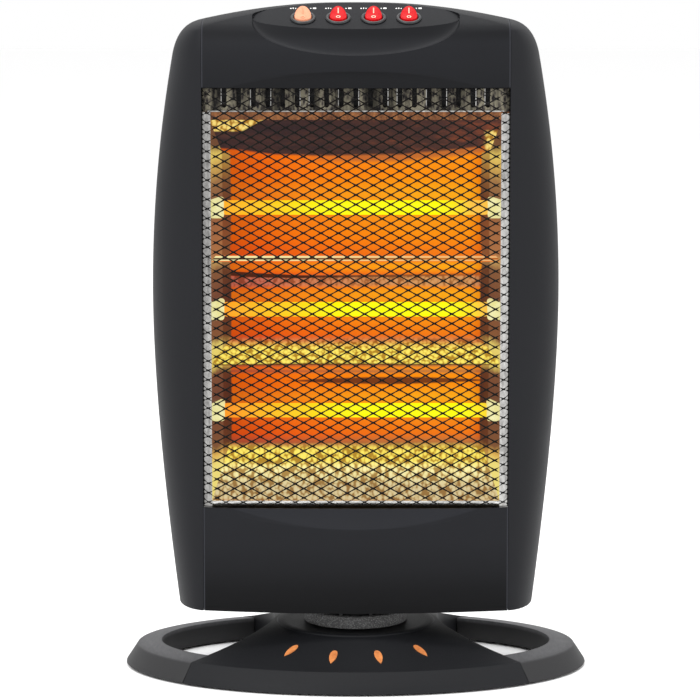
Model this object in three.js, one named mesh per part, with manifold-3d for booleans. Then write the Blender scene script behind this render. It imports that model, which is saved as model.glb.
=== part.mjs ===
// Free-standing halogen heater with three tubes on a swivelling oval stand.
// Millimetres, +Z up, front towards -Y. The origin lies on the floor under the swivel axis.
import * as THREE from 'three';
import { mergeVertices } from 'three/addons/utils/BufferGeometryUtils.js';
import Module from 'manifold-3d';

const wasm = await Module();
wasm.setup();

/* ------------------------------ driving dimensions ------------------------------ */

// fits and walls
const GAP = 0.3; // clearance between neighbouring pieces
const WALL = 2.5; // moulded plastic wall
const SHEET = 1.0; // pressed sheet metal

// oval stand
const BASE_WIDTH = 355;
const BASE_DEPTH = 235;
const PAD_THICKNESS = 1.5; // rubber pads under the stand
const PAD_RADIUS = 8;
const RIM_HEIGHT = 16; // outer ridge of the oval above the floor
const RIM_INNER_HEIGHT = 18.5; // the rim's flat top rises a little towards the inside
const RIDGE_INSET_X = 9.2; // slope of the outer wall, side and front
const RIDGE_INSET_Y = 11.5;
const RIM_TOP_WIDTH = 18.5;
const FRONT_SEAM = 42.5; // where the side arcs meet the pedestal, degrees on the oval
const REAR_SEAM = 58;
const PAD_ANGLE = 27;
const COLLAR_RADIUS = 61; // round plateau in the middle of the pedestal
const PEDESTAL_HEIGHT = 34.2;
const FAN_SAG = 1.12; // 1 is a straight slope, more is a hollow one
const WAIST_HALF = 63;
const WAIST_Y = 14;
const PLATE_THICKNESS = 2;
const SEAM_GAP = 0.5; // between the side arcs and the pedestal
const PAD_BOSS_RADIUS = PAD_RADIUS - 1;
const PAD_SET_IN = 2; // pads lie this far inside the middle of the rim
const TILT_WIDTH = 22;
const TILT_DEPTH = 16;
const TILT_HEIGHT = 15;
const TILT_FOOT = 5; // lug at either side
const BUSH_RADIUS = 4.6; // cord inlet in the rear wall
const BUSH_BORE = 3;
const BUSH_LENGTH = 13;

// leaf-shaped inserts in the pedestal's front slope
const LEAF_LENGTH = 17.5;
const LEAF_WIDTH = 5.6;
const LEAF_SHIFT = 3.5; // outwards from midway between the plateau and the front ridge
const LEAF_RADIUS = (COLLAR_RADIUS + BASE_DEPTH / 2 - RIDGE_INSET_Y) / 2 + LEAF_SHIFT;
const LEAF_PITCH = 23; // degrees
const LEAF_DEPTH = 1.6;
const LEAF_PROUD = 0.6;

// swivel
const NECK_RADIUS = 38;
const NECK_BORE = 31.2;
const NECK_HEIGHT = 9.2;
const WASHER_THICKNESS = 1.5;
const SPINDLE_RADIUS = 12;
const SPINDLE_BORE = 9;
const SPINDLE_FLANGE = 17;
const BOSS_WALL = 4;
const RETAINER_RADIUS = 19;
const RETAINER_THICKNESS = 1.6;
const HEAD_CLEARANCE = 18; // pedestal plateau to the underside of the head

// swivel drive: a closed gearbox round the spindle's foot with its motor on top
const MOTOR_RADIUS = 24.5;
const MOTOR_HEIGHT = 12.6;
const MOTOR_Y = 38;
const GEARBOX_HEIGHT = 12;
const GEARBOX_WALL = 7; // round the spindle
const SPINDLE_ENTRY = 8; // how far the spindle's foot reaches into the gearbox

// tubes and reflector, which set the width of the head
const TUBE_RADIUS = 5.5;
const TUBE_LENGTH = 208;
const CAP_OVERLAP = 2; // of a ceramic cap over its tube's end
const CAP_REACH = 8; // of a ceramic cap inside the reflector
const REFLECTOR_HALF_WIDTH = TUBE_LENGTH / 2 - CAP_OVERLAP + CAP_REACH;
const BRACKET_ROOM = 5.6; // reflector's end to the seam
const TUBE_PITCH = 77.6;
const REFLECTOR_TOP_REACH = 28; // of the upper wing past the half pitch
const REFLECTOR_BOTTOM_REACH = 30;
const REFLECTOR_ROOM = 1.4; // opening's lower edge to the reflector
const VENT_ROOM = 25.8; // reflector to the opening's upper edge

// grille opening, above the head's underside
const OPENING_BOTTOM = 80;
const OPENING_TOP = OPENING_BOTTOM + REFLECTOR_ROOM + REFLECTOR_BOTTOM_REACH + 3 * TUBE_PITCH
  + REFLECTOR_TOP_REACH + VENT_ROOM;
const CROWN_BAND = 61.2; // opening to the crown

// head outline, seen from the front
const JOINT_X = REFLECTOR_HALF_WIDTH + BRACKET_ROOM; // seam between the centre panels and the side covers
const HEAD_HEIGHT = OPENING_TOP + CROWN_BAND;
const HEAD_HALF_WIDTH = JOINT_X + 39.1;
const WIDEST_ABOVE_BOTTOM = HEAD_HEIGHT * 0.5205;
const FOOT_HALF_WIDTH = JOINT_X + 20;
const SHOULDER_HALF_WIDTH = JOINT_X + 23;
const SHOULDER_DROP = 39; // below the crown
const CROWN_HALF_WIDTH = JOINT_X + 3.4;
const CROWN_DROP = 13.9;
const SHOULDER_REACH = JOINT_X + 18.9;
const SHOULDER_RISE = 17.6;
// head outline, seen from the side
const FRONT_Y = -66;
const BACK_Y = 46;
const CROWN_Y = -18.5;
const WIDEST_Y = -6;
const FRONT_BULGE = 12;
const BACK_BULGE = 10;
const FRONT_CROWN_DROP = 45;
const BACK_CROWN_DROP = 66;
const FLANGE = 15; // depth of the covers' inner returns

// panels
const CROWN_SEAM_Y = 8; // seam between the top cover and the rear cover
const SCOOP_DEPTH = 5.5;
const SCOOP_BODY = 30; // depth of the cutter behind the front
const UPPER_SCOOP = 28; // half heights of the cutters
const LOWER_SCOOP = 34;

// control pad
const PAD_TILT = 24.5; // degrees from the horizontal
const PAD_CENTRE_Y = -40.8;
const PAD_CENTRE_DROP = 10.4; // below the crown
const PAD_HALF_WIDTH = 77.5; // the pad is lens-shaped
const PAD_FORE = 16.5; // its front edge from the row of switches
const PAD_AFT = 27; // and its rear edge
const PAD_STEPS = 20;
const CREASE_LEAD = 0.6; // the dish starts this far in front of the face
const DISH_DROP = 29; // lower edge of the dish in front of the pad, from the pad's tips
const SWITCH_PITCH = 26.4;
const BEZEL_RADIUS = 9.55;
const BEZEL_THICKNESS = 1.6;
const SWITCH_RADIUS = 8.9;
const SWITCH_DEPTH = 13;
const ROCKER_RADIUS = 6.3;
const ROCKER_HEIGHT = 5.8;
const ROCKER_FLOOR = -8; // of the well, from the pad
const ROCKER_TILT = 12; // degrees either side of the middle

// heating section
const TUBE_Y = -28;
const CAP_HALF = 7.8; // square ceramic holder
const CAP_NECK_RADIUS = 4.8;
const CAP_NECK_LENGTH = 3.9;
const REFLECTOR_FRONT_Y = -47;
const REFLECTOR_BACK_Y = -5;
const TROUGH_DEPTH_STEP = 9; // how far the trough's shoulders lie in front of its back
const TROUGH_HALF_BACK = 25;
const VENT_SLOTS = 19;
const VENT_SLOT_PITCH = REFLECTOR_HALF_WIDTH * 2 / (VENT_SLOTS + 1.1);
const VENT_SLOT_WIDTH = 3.6;
const VENT_BAND_HEIGHT = 21;

// grille
const GRILLE_FRONT_Y = -58;
const GRILLE_ROWS = 14;
const GRILLE_COLUMNS = 10;
const STRAND_WIDTH = 1.9;
const STRAND_THICKNESS = 1.5;
const GRILLE_EDGE_BEND = 7.5;
const GRILLE_EDGE_DEPTH = 7;

// rear cover
const REAR_SLOTS = 11;
const REAR_SLOT_PITCH = 13;
const REAR_SLOT_WIDTH = 4;
const REAR_SLOT_LENGTH = 58;
const HANDLE_WIDTH = 104;
const HANDLE_HEIGHT = 32;
const HANDLE_DEPTH = 24;
const HANDLE_TOP_DROP = 62;

// inner parts
const TERMINAL_HALF_WIDTH = 26;
const TERMINAL_DEPTH = 14;
const TERMINAL_HEIGHT = 13;
const TERMINAL_PITCH = 10;
const TERMINAL_SLOT = 6;
const CUT_OUT_SIZE = 18;
const CUT_OUT_DEPTH = 9;

/* ------------------------------ derived heights ------------------------------ */

const HEAD_BOTTOM = PEDESTAL_HEIGHT + HEAD_CLEARANCE;
const HEAD_TOP = HEAD_BOTTOM + HEAD_HEIGHT;
const PLATE_BOTTOM = PAD_THICKNESS + GAP;
const PLATE_TOP = PLATE_BOTTOM + PLATE_THICKNESS;
const PEDESTAL_UNDERSIDE = PEDESTAL_HEIGHT - WALL;
const WASHER_BOTTOM = PEDESTAL_HEIGHT + GAP;
const BOSS_BOTTOM = WASHER_BOTTOM + WASHER_THICKNESS + GAP;
const BOSS_FLOOR = BOSS_BOTTOM + WALL;
const BOSS_RADIUS = NECK_BORE - 0.6;
const RETAINER_BOTTOM = PEDESTAL_UNDERSIDE - GAP - RETAINER_THICKNESS;
const GEARBOX_TOP = PLATE_TOP + GAP + GEARBOX_HEIGHT;
const MOTOR_TOP = GEARBOX_TOP + GAP + MOTOR_HEIGHT;
const GRILLE_BOTTOM = HEAD_BOTTOM + OPENING_BOTTOM;
const GRILLE_TOP = HEAD_BOTTOM + OPENING_TOP;
const PANEL_HALF = JOINT_X - GAP; // half width of the centre panels
const MIDDLE_TUBE_Z = GRILLE_BOTTOM + REFLECTOR_ROOM + REFLECTOR_BOTTOM_REACH + 1.5 * TUBE_PITCH;
const TUBE_HEIGHTS = [-1, 0, 1].map((k) => MIDDLE_TUBE_Z + k * TUBE_PITCH);

/* ------------------------------ materials ------------------------------ */

const material = (color, roughness, metalness = 0) =>
  new THREE.MeshStandardMaterial({ color, roughness, metalness });
const CHARCOAL = material('#303033', 0.55);
const CHARCOAL_TOP = material('#3a3a3c', 0.5);
const BASE_BLACK = material('#2a2a2c', 0.6);
const NECK_GREY = material('#3c3c3d', 0.8);
const MESH_BLACK = material('#0c0c0c', 0.45, 0.2);
const MIRROR_ALU = material('#e8c070', 0.25, 0.9);
const SILVER = material('#cfcfca', 0.35, 0.9);
const STEEL = material('#9a9a9a', 0.4, 0.9);
const TUBE_GLOW = material('#ffd21e', 0.4);
const CERAMIC = material('#efe6c8', 0.6);
const COPPER_LEAF = material('#d27846', 0.4, 0.4);
const SWITCH_BLACK = material('#161616', 0.4);
const ROCKER_RED = material('#d72328', 0.35);
const ROCKER_PEACH = material('#eba582', 0.4);
const RUBBER = material('#141414', 0.9);
const DARK_PLASTIC = material('#1c1c1e', 0.6);
const NYLON = material('#e4e0d2', 0.6);
const BRASS = material('#b8964a', 0.4, 0.8);

/* ------------------------------ small tools ------------------------------ */

const rad = THREE.MathUtils.degToRad;
const v3 = (x, y, z) => new THREE.Vector3(x, y, z);

function indexed(positions, triangles) {
  const g = new THREE.BufferGeometry();
  g.setAttribute('position', new THREE.Float32BufferAttribute(positions, 3));
  g.setIndex(triangles);
  return g;
}

// A closed skin over rings with equal numbers of points. The ends are capped
// unless the rings close on themselves.
function skin(rings, closed = false) {
  const n = rings[0].length;
  const m = rings.length;
  const positions = rings.flat().flatMap((p) => [p.x, p.y, p.z]);
  const triangles = [];
  for (let i = 0; i < (closed ? m : m - 1); i++) {
    for (let j = 0; j < n; j++) {
      const a = i * n + j;
      const b = i * n + ((j + 1) % n);
      const c = ((i + 1) % m) * n + j;
      const d = ((i + 1) % m) * n + ((j + 1) % n);
      triangles.push(a, b, d, a, d, c);
    }
  }
  if (!closed) {
    triangles.push(...cap(rings[0], 0, true), ...cap(rings[m - 1], (m - 1) * n, false));
  }
  return outward(indexed(positions, triangles));
}

// Triangles over a flat ring, found in the ring's own plane.
function cap(ring, first, reversed) {
  const normal = v3(0, 0, 0);
  ring.forEach((p, i) => normal.add(p.clone().cross(ring[(i + 1) % ring.length])));
  normal.normalize();
  const side = Math.abs(normal.z) < 0.9 ? v3(0, 0, 1) : v3(1, 0, 0);
  const u = side.clone().cross(normal).normalize();
  const w = normal.clone().cross(u);
  const flat = ring.map((p) => new THREE.Vector2(p.dot(u), p.dot(w)));
  return THREE.ShapeUtils.triangulateShape(flat, []).flatMap(([a, b, c]) => {
    const turn = flat[b].clone().sub(flat[a]).cross(flat[c].clone().sub(flat[a])) > 0;
    return turn !== reversed ? [first + a, first + b, first + c] : [first + a, first + c, first + b];
  });
}

function volume(geometry) {
  const p = geometry.attributes.position;
  const index = geometry.index;
  const count = index ? index.count : p.count;
  const at = (i) => new THREE.Vector3().fromBufferAttribute(p, index ? index.getX(i) : i);
  let total = 0;
  for (let i = 0; i < count; i += 3) total += at(i).dot(at(i + 1).cross(at(i + 2))) / 6;
  return total;
}

function outward(geometry) {
  if (volume(geometry) < 0) {
    const t = geometry.index.array;
    for (let i = 0; i < t.length; i += 3) [t[i + 1], t[i + 2]] = [t[i + 2], t[i + 1]];
  }
  return geometry;
}

// Geometry to solid and back.
function solid(geometry) {
  const bare = geometry.clone();
  ['normal', 'uv'].forEach((name) => bare.deleteAttribute(name));
  const merged = mergeVertices(bare, 1e-4);
  const source = merged.index.array;
  const triVerts = [];
  for (let i = 0; i < source.length; i += 3) {
    const [a, b, c] = [source[i], source[i + 1], source[i + 2]];
    if (a !== b && b !== c && c !== a) triVerts.push(a, b, c);
  }
  return new wasm.Manifold(new wasm.Mesh({
    numProp: 3,
    vertProperties: new Float32Array(merged.attributes.position.array),
    triVerts: new Uint32Array(triVerts),
  }));
}

function geometryOf(manifold) {
  const mesh = manifold.getMesh();
  const positions = [];
  for (let i = 0; i < mesh.vertProperties.length; i += mesh.numProp) {
    positions.push(...mesh.vertProperties.slice(i, i + 3));
  }
  const g = indexed(positions, Array.from(mesh.triVerts));
  g.computeVertexNormals();
  return g;
}

const block = (x0, x1, y0, y1, z0, z1) => solid(
  new THREE.BoxGeometry(x1 - x0, y1 - y0, z1 - z0).translate((x0 + x1) / 2, (y0 + y1) / 2, (z0 + z1) / 2));

function rod(radius, z0, z1, x = 0, y = 0, sides = 24, topRadius = radius) {
  return solid(new THREE.CylinderGeometry(topRadius, radius, z1 - z0, sides)
    .rotateX(Math.PI / 2).translate(x, y, (z0 + z1) / 2));
}

const ring = (outer, inner, z0, z1, x = 0, y = 0, sides = 24) =>
  rod(outer, z0, z1, x, y, sides).subtract(rod(inner, z0 - 1, z1 + 1, x, y, sides));

// Flat outline in X and Y pulled up from z0 to z1.
function prism(points, z0, z1) {
  const shape = new THREE.Shape(points.map((p) => new THREE.Vector2(p.x, p.y)));
  return solid(new THREE.ExtrudeGeometry(shape, { depth: z1 - z0, bevelEnabled: false }).translate(0, 0, z0));
}

// Closed outline moved inwards along its mitred normals.
function inset(points, distance) {
  const n = points.length;
  const area = points.reduce((s, p, i) => s + p.x * points[(i + 1) % n].y - p.y * points[(i + 1) % n].x, 0);
  const sign = area > 0 ? 1 : -1;
  return points.map((p, i) => {
    const before = points[(i + n - 1) % n];
    const after = points[(i + 1) % n];
    const a = v3(p.x - before.x, p.y - before.y, 0).normalize();
    const b = v3(after.x - p.x, after.y - p.y, 0).normalize();
    const na = v3(-a.y, a.x, 0).multiplyScalar(sign);
    const nb = v3(-b.y, b.x, 0).multiplyScalar(sign);
    const mitre = na.clone().add(nb).normalize();
    const reach = Math.min(distance / Math.max(mitre.dot(na), 0.45), distance * 1.8);
    return v3(p.x + mitre.x * reach, p.y + mitre.y * reach, p.z || 0);
  });
}

const heater = new THREE.Group();

function add(name, shape, finish, parent = heater) {
  const mesh = new THREE.Mesh(shape instanceof THREE.BufferGeometry ? shape : geometryOf(shape), finish);
  mesh.name = name;
  parent.add(mesh);
  return mesh;
}

/* ------------------------------ oval stand ------------------------------ */

const RIM = {
  outer: [BASE_WIDTH / 2, BASE_DEPTH / 2],
  ridge: [BASE_WIDTH / 2 - RIDGE_INSET_X, BASE_DEPTH / 2 - RIDGE_INSET_Y],
  inner: [BASE_WIDTH / 2 - RIDGE_INSET_X - RIM_TOP_WIDTH, BASE_DEPTH / 2 - RIDGE_INSET_Y - RIM_TOP_WIDTH],
};
const onRim = ([a, b], degrees, z = 0, shift = 0) =>
  v3((a - shift) * Math.cos(rad(degrees)), (b - shift) * Math.sin(rad(degrees)), z);

function ridgeRadius(x, y) {
  const length = Math.hypot(x, y);
  const [a, b] = RIM.ridge;
  return 1 / Math.hypot(x / length / a, y / length / b);
}

// Height of the pedestal's hollow slope at a point of the plan.
function slopeHeight(x, y) {
  const r = Math.hypot(x, y);
  const t = THREE.MathUtils.clamp((r - COLLAR_RADIUS) / (ridgeRadius(x, y) - COLLAR_RADIUS), 0, 1);
  return RIM_HEIGHT + (PEDESTAL_HEIGHT - 0.8 - RIM_HEIGHT) * (1 - t) ** FAN_SAG;
}

// Plan of the pedestal: front of the oval, hollow flank, back of the oval, hollow flank.
function pedestalPlan(band) {
  const points = [];
  const sweep = (from, to, steps) => {
    for (let i = 0; i <= steps; i++) points.push(onRim(band, from + (to - from) * i / steps));
  };
  const flank = (side) => {
    const front = onRim(RIM.inner, -FRONT_SEAM);
    const back = onRim(RIM.inner, REAR_SEAM);
    const path = new THREE.CurvePath();
    const waist = v3(WAIST_HALF, WAIST_Y, 0);
    path.add(new THREE.QuadraticBezierCurve3(front, v3(WAIST_HALF, WAIST_Y - 38, 0), waist));
    path.add(new THREE.QuadraticBezierCurve3(waist, v3(WAIST_HALF, WAIST_Y + 36, 0), back));
    const half = path.curves.flatMap((c, k) => c.getPoints(4).slice(k));
    return side > 0 ? half : half.reverse().map((p) => v3(-p.x, p.y, 0));
  };
  sweep(FRONT_SEAM - 180, -FRONT_SEAM, 16);
  points.push(...flank(1));
  sweep(REAR_SEAM, 180 - REAR_SEAM, 8);
  points.push(...flank(-1));
  return points;
}

function pedestal() {
  const edge = pedestalPlan(RIM.ridge);
  const foot = pedestalPlan(RIM.outer);
  const edgeIn = inset(edge, WALL);
  const footIn = inset(foot, WALL);
  const boreRadius = SPINDLE_RADIUS + GAP;
  const columns = edge.map((e, i) => {
    const reach = Math.hypot(e.x, e.y);
    const dir = v3(e.x / reach, e.y / reach, 0);
    const at = (r, z) => v3(dir.x * r, dir.y * r, z);
    const onSlope = (r, drop = 0) => at(r, slopeHeight(dir.x * r, dir.y * r) - drop);
    const run = (t) => COLLAR_RADIUS + (reach - COLLAR_RADIUS) * t;
    const inside = edgeIn[i];
    const reachIn = Math.hypot(inside.x, inside.y);
    return [
      at(boreRadius, PEDESTAL_HEIGHT),
      at(COLLAR_RADIUS - 1.5, PEDESTAL_HEIGHT),
      onSlope(COLLAR_RADIUS),
      onSlope(run(0.3)),
      onSlope(run(0.6)),
      onSlope(run(0.85)),
      v3(e.x, e.y, slopeHeight(e.x, e.y)),
      v3(foot[i].x, foot[i].y, PAD_THICKNESS),
      v3(footIn[i].x, footIn[i].y, PAD_THICKNESS),
      v3(inside.x, inside.y, slopeHeight(inside.x, inside.y) - WALL),
      onSlope(COLLAR_RADIUS + (reachIn - COLLAR_RADIUS) * 0.45, WALL),
      at(COLLAR_RADIUS - 1.5, PEDESTAL_UNDERSIDE),
      at(boreRadius, PEDESTAL_UNDERSIDE),
    ];
  });
  let body = solid(skin(columns, true));
  // sockets for the leaf inserts, and the hole for the cord bush in the rear wall
  leafPlaces().forEach((place) => { body = body.subtract(leaf(place, LEAF_DEPTH + GAP, GAP / 2)); });
  return body.subtract(
    rodAlongY(CORD_BUSH.radius + GAP, BASE_DEPTH / 2 - 30, BASE_DEPTH / 2 + 5, CORD_BUSH.z));
}

const CORD_BUSH = {
  radius: BUSH_RADIUS, bore: BUSH_BORE, z: PLATE_TOP + 2 * GAP + BUSH_RADIUS, length: BUSH_LENGTH,
};

function rodAlongY(radius, y0, y1, z, x = 0, sides = 16) {
  return solid(new THREE.CylinderGeometry(radius, radius, y1 - y0, sides).translate(x, (y0 + y1) / 2, z));
}

// Half of the oval's rim, a channel open to the floor, with bosses for its pads.
function rimArc(side) {
  const gap = THREE.MathUtils.radToDeg(SEAM_GAP / RIM.outer[1]);
  const from = -FRONT_SEAM + gap;
  const to = REAR_SEAM - gap;
  const steps = 18;
  const sections = [];
  for (let i = 0; i <= steps; i++) {
    const a = from + (to - from) * i / steps;
    sections.push([
      onRim(RIM.outer, a, PAD_THICKNESS),
      onRim(RIM.ridge, a, RIM_HEIGHT),
      onRim(RIM.inner, a, RIM_INNER_HEIGHT),
      onRim(RIM.inner, a, PAD_THICKNESS),
      onRim(RIM.inner, a, PAD_THICKNESS, -WALL),
      onRim(RIM.inner, a, RIM_INNER_HEIGHT - WALL, -WALL),
      onRim(RIM.ridge, a, RIM_HEIGHT - WALL, 1),
      onRim(RIM.outer, a, PAD_THICKNESS, WALL),
    ]);
  }
  let body = solid(skin(sections));
  padPlaces(1).forEach((p) => {
    body = body.add(rod(PAD_BOSS_RADIUS, PAD_THICKNESS, RIM_HEIGHT - WALL * 0.76, p.x, p.y, 12));
  });
  return side > 0 ? body : body.mirror([1, 0, 0]);
}

function padPlaces(side) {
  const middle = [0, 1].map((k) => (RIM.outer[k] + RIM.inner[k]) / 2 - PAD_SET_IN);
  return [-PAD_ANGLE, PAD_ANGLE].map((a) => {
    const p = onRim(middle, a);
    return v3(side * p.x, p.y, 0);
  });
}

/* leaf-shaped inserts */

function leafPlaces() {
  return [-1.5, -0.5, 0.5, 1.5].map((k) => {
    const a = rad(k * LEAF_PITCH);
    const [x, y] = [LEAF_RADIUS * Math.sin(a), -LEAF_RADIUS * Math.cos(a)];
    const near = slopeHeight(x * 0.92, y * 0.92);
    const far = slopeHeight(x * 1.08, y * 1.08);
    return { x, y, z: slopeHeight(x, y), turn: a, tilt: Math.atan2(near - far, LEAF_RADIUS * 0.16) };
  });
}

// Round towards the collar and pointed towards the rim, lying on the slope.
function leaf(place, depth, grow = 0) {
  const half = LEAF_LENGTH / 2 + grow;
  const wide = LEAF_WIDTH / 2 + grow;
  const shape = new THREE.Shape();
  shape.moveTo(0, -half);
  shape.quadraticCurveTo(wide * 1.25, -half * 0.2, wide, half * 0.45);
  shape.quadraticCurveTo(wide * 0.85, half, 0, half);
  shape.quadraticCurveTo(-wide * 0.85, half, -wide, half * 0.45);
  shape.quadraticCurveTo(-wide * 1.25, -half * 0.2, 0, -half);
  const above = grow ? 4 : LEAF_PROUD;
  const settings = { depth: depth + above, bevelEnabled: false, curveSegments: 4 };
  const body = new THREE.ExtrudeGeometry(shape, settings);
  body.translate(0, 0, -depth);
  body.rotateX(place.tilt);
  body.rotateZ(place.turn);
  body.translate(place.x, place.y, place.z);
  return solid(body);
}

/* bottom plate and what stands on it */

function bottomPlate() {
  const slope = RIDGE_INSET_Y * (PLATE_TOP - PAD_THICKNESS) / (RIM_HEIGHT - PAD_THICKNESS);
  return prism(inset(pedestalPlan(RIM.outer), WALL + GAP + slope), PLATE_BOTTOM, PLATE_TOP);
}

// Flat bar with round ends from one plan point to another.
function bar(from, to, radius, endRadius, z0, z1) {
  const along = to.clone().sub(from);
  const angle = Math.atan2(along.y, along.x);
  const shape = new THREE.Shape();
  shape.absarc(0, 0, radius, Math.PI / 2, -Math.PI / 2, false);
  shape.absarc(along.length(), 0, endRadius, -Math.PI / 2, Math.PI / 2, false);
  const g = new THREE.ExtrudeGeometry(shape, { depth: z1 - z0, bevelEnabled: false, curveSegments: 9 });
  return solid(g.rotateZ(angle).translate(from.x, from.y, z0));
}

const MOTOR_AXIS = v3(0, MOTOR_Y, 0);

function gearbox() {
  const z0 = PLATE_TOP + GAP;
  return bar(v3(0, 0, 0), MOTOR_AXIS, SPINDLE_RADIUS + GEARBOX_WALL, MOTOR_RADIUS, z0, GEARBOX_TOP)
    .subtract(rod(SPINDLE_RADIUS + GAP, GEARBOX_TOP - SPINDLE_ENTRY - GAP, GEARBOX_TOP + 5));
}

// Round motor can with its connector block.
function motor() {
  const z0 = GEARBOX_TOP + GAP;
  const back = MOTOR_Y + MOTOR_RADIUS;
  return rod(MOTOR_RADIUS, z0, MOTOR_TOP, 0, MOTOR_Y, 32).add(block(-8, 8, back - 4, back + 5, z0, z0 + 8));
}

function tiltSwitch() {
  const z = PLATE_TOP + GAP;
  const x = -COLLAR_RADIUS * 0.45;
  const y = -COLLAR_RADIUS * 0.6;
  const half = TILT_WIDTH / 2;
  const lug = half + TILT_FOOT;
  return block(x - half, x + half, y - TILT_DEPTH / 2, y + TILT_DEPTH / 2, z, z + TILT_HEIGHT)
    .add(block(x - lug, x + lug, y - TILT_DEPTH / 5, y + TILT_DEPTH / 5, z, z + SHEET * 2));
}

function addStand() {
  add('base_pedestal', pedestal(), BASE_BLACK);
  add('base_arc_right', rimArc(1), BASE_BLACK);
  add('base_arc_left', rimArc(-1), BASE_BLACK);
  add('base_bottom_plate', bottomPlate(), DARK_PLASTIC);
  leafPlaces().forEach((place, i) => add(`leaf_insert_${i + 1}`, leaf(place, LEAF_DEPTH), COPPER_LEAF));
  [...padPlaces(-1), ...padPlaces(1)].forEach((p, i) =>
    add(`rubber_pad_${i + 1}`, rod(PAD_RADIUS, 0, PAD_THICKNESS, p.x, p.y, 16), RUBBER));
  const neck = rod(NECK_RADIUS + 1.5, WASHER_BOTTOM, WASHER_BOTTOM + NECK_HEIGHT, 0, 0, 36, NECK_RADIUS)
    .subtract(rod(NECK_BORE, 0, HEAD_BOTTOM, 0, 0, 36));
  add('neck_ring', neck, NECK_GREY);
  add('turntable_washer',
    ring(BOSS_RADIUS - 1, SPINDLE_RADIUS + 1, WASHER_BOTTOM, WASHER_BOTTOM + WASHER_THICKNESS), NYLON);
  const bushEnd = BASE_DEPTH / 2 - 1.5;
  const bush = rodAlongY(CORD_BUSH.radius, bushEnd - CORD_BUSH.length, bushEnd, CORD_BUSH.z)
    .subtract(rodAlongY(CORD_BUSH.bore, 0, BASE_DEPTH, CORD_BUSH.z, 0, 12));
  add('cord_inlet_bush', bush, RUBBER);
  add('swivel_gearbox', gearbox(), DARK_PLASTIC);
  add('swivel_motor', motor(), STEEL);
  add('tilt_switch', tiltSwitch(), DARK_PLASTIC);
}

/* ------------------------------ head form ------------------------------ */

// Front view: half width by height, crown, shoulder and bowed flank.
function silhouette() {
  const shoulderZ = HEAD_TOP - SHOULDER_DROP;
  const widestZ = HEAD_BOTTOM + WIDEST_ABOVE_BOTTOM;
  const q = (x0, z0, x1, z1, x2, z2) =>
    new THREE.QuadraticBezierCurve(
      new THREE.Vector2(x0, z0), new THREE.Vector2(x1, z1), new THREE.Vector2(x2, z2));
  return [
    q(FOOT_HALF_WIDTH, HEAD_BOTTOM, HEAD_HALF_WIDTH, HEAD_BOTTOM + WIDEST_ABOVE_BOTTOM * 0.62,
      HEAD_HALF_WIDTH, widestZ),
    q(HEAD_HALF_WIDTH, widestZ, HEAD_HALF_WIDTH, widestZ + (shoulderZ - widestZ) * 0.5,
      SHOULDER_HALF_WIDTH, shoulderZ),
    q(SHOULDER_HALF_WIDTH, shoulderZ, SHOULDER_REACH, HEAD_TOP - SHOULDER_RISE,
      CROWN_HALF_WIDTH, HEAD_TOP - CROWN_DROP),
    q(CROWN_HALF_WIDTH, HEAD_TOP - CROWN_DROP, CROWN_HALF_WIDTH * 0.5, HEAD_TOP, 0, HEAD_TOP),
  ];
}

function frontCurve() {
  return new THREE.CubicBezierCurve(
    new THREE.Vector2(FRONT_Y, HEAD_TOP - FRONT_CROWN_DROP), new THREE.Vector2(FRONT_Y, HEAD_TOP - 19),
    new THREE.Vector2(CROWN_Y - 31, HEAD_TOP), new THREE.Vector2(CROWN_Y, HEAD_TOP));
}

function backCurve() {
  return new THREE.CubicBezierCurve(
    new THREE.Vector2(BACK_Y, HEAD_TOP - BACK_CROWN_DROP), new THREE.Vector2(BACK_Y - 1, HEAD_TOP - 12),
    new THREE.Vector2(CROWN_Y + 30, HEAD_TOP), new THREE.Vector2(CROWN_Y, HEAD_TOP));
}

// Value of a curve in (value, height) at a height.
function valueAt(curves, z) {
  for (const c of curves) {
    const [low, high] = [c.getPoint(0).y, c.getPoint(1).y];
    if (z > high) continue;
    if (z <= low) return c.getPoint(0).x;
    let [a, b] = [0, 1];
    for (let i = 0; i < 40; i++) {
      const mid = (a + b) / 2;
      if (c.getPoint(mid).y < z) a = mid; else b = mid;
    }
    return c.getPoint((a + b) / 2).x;
  }
  return curves[curves.length - 1].getPoint(1).x;
}

const SILHOUETTE = silhouette();
const FRONT_CURVE = [frontCurve()];
const BACK_CURVE = [backCurve()];

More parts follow.
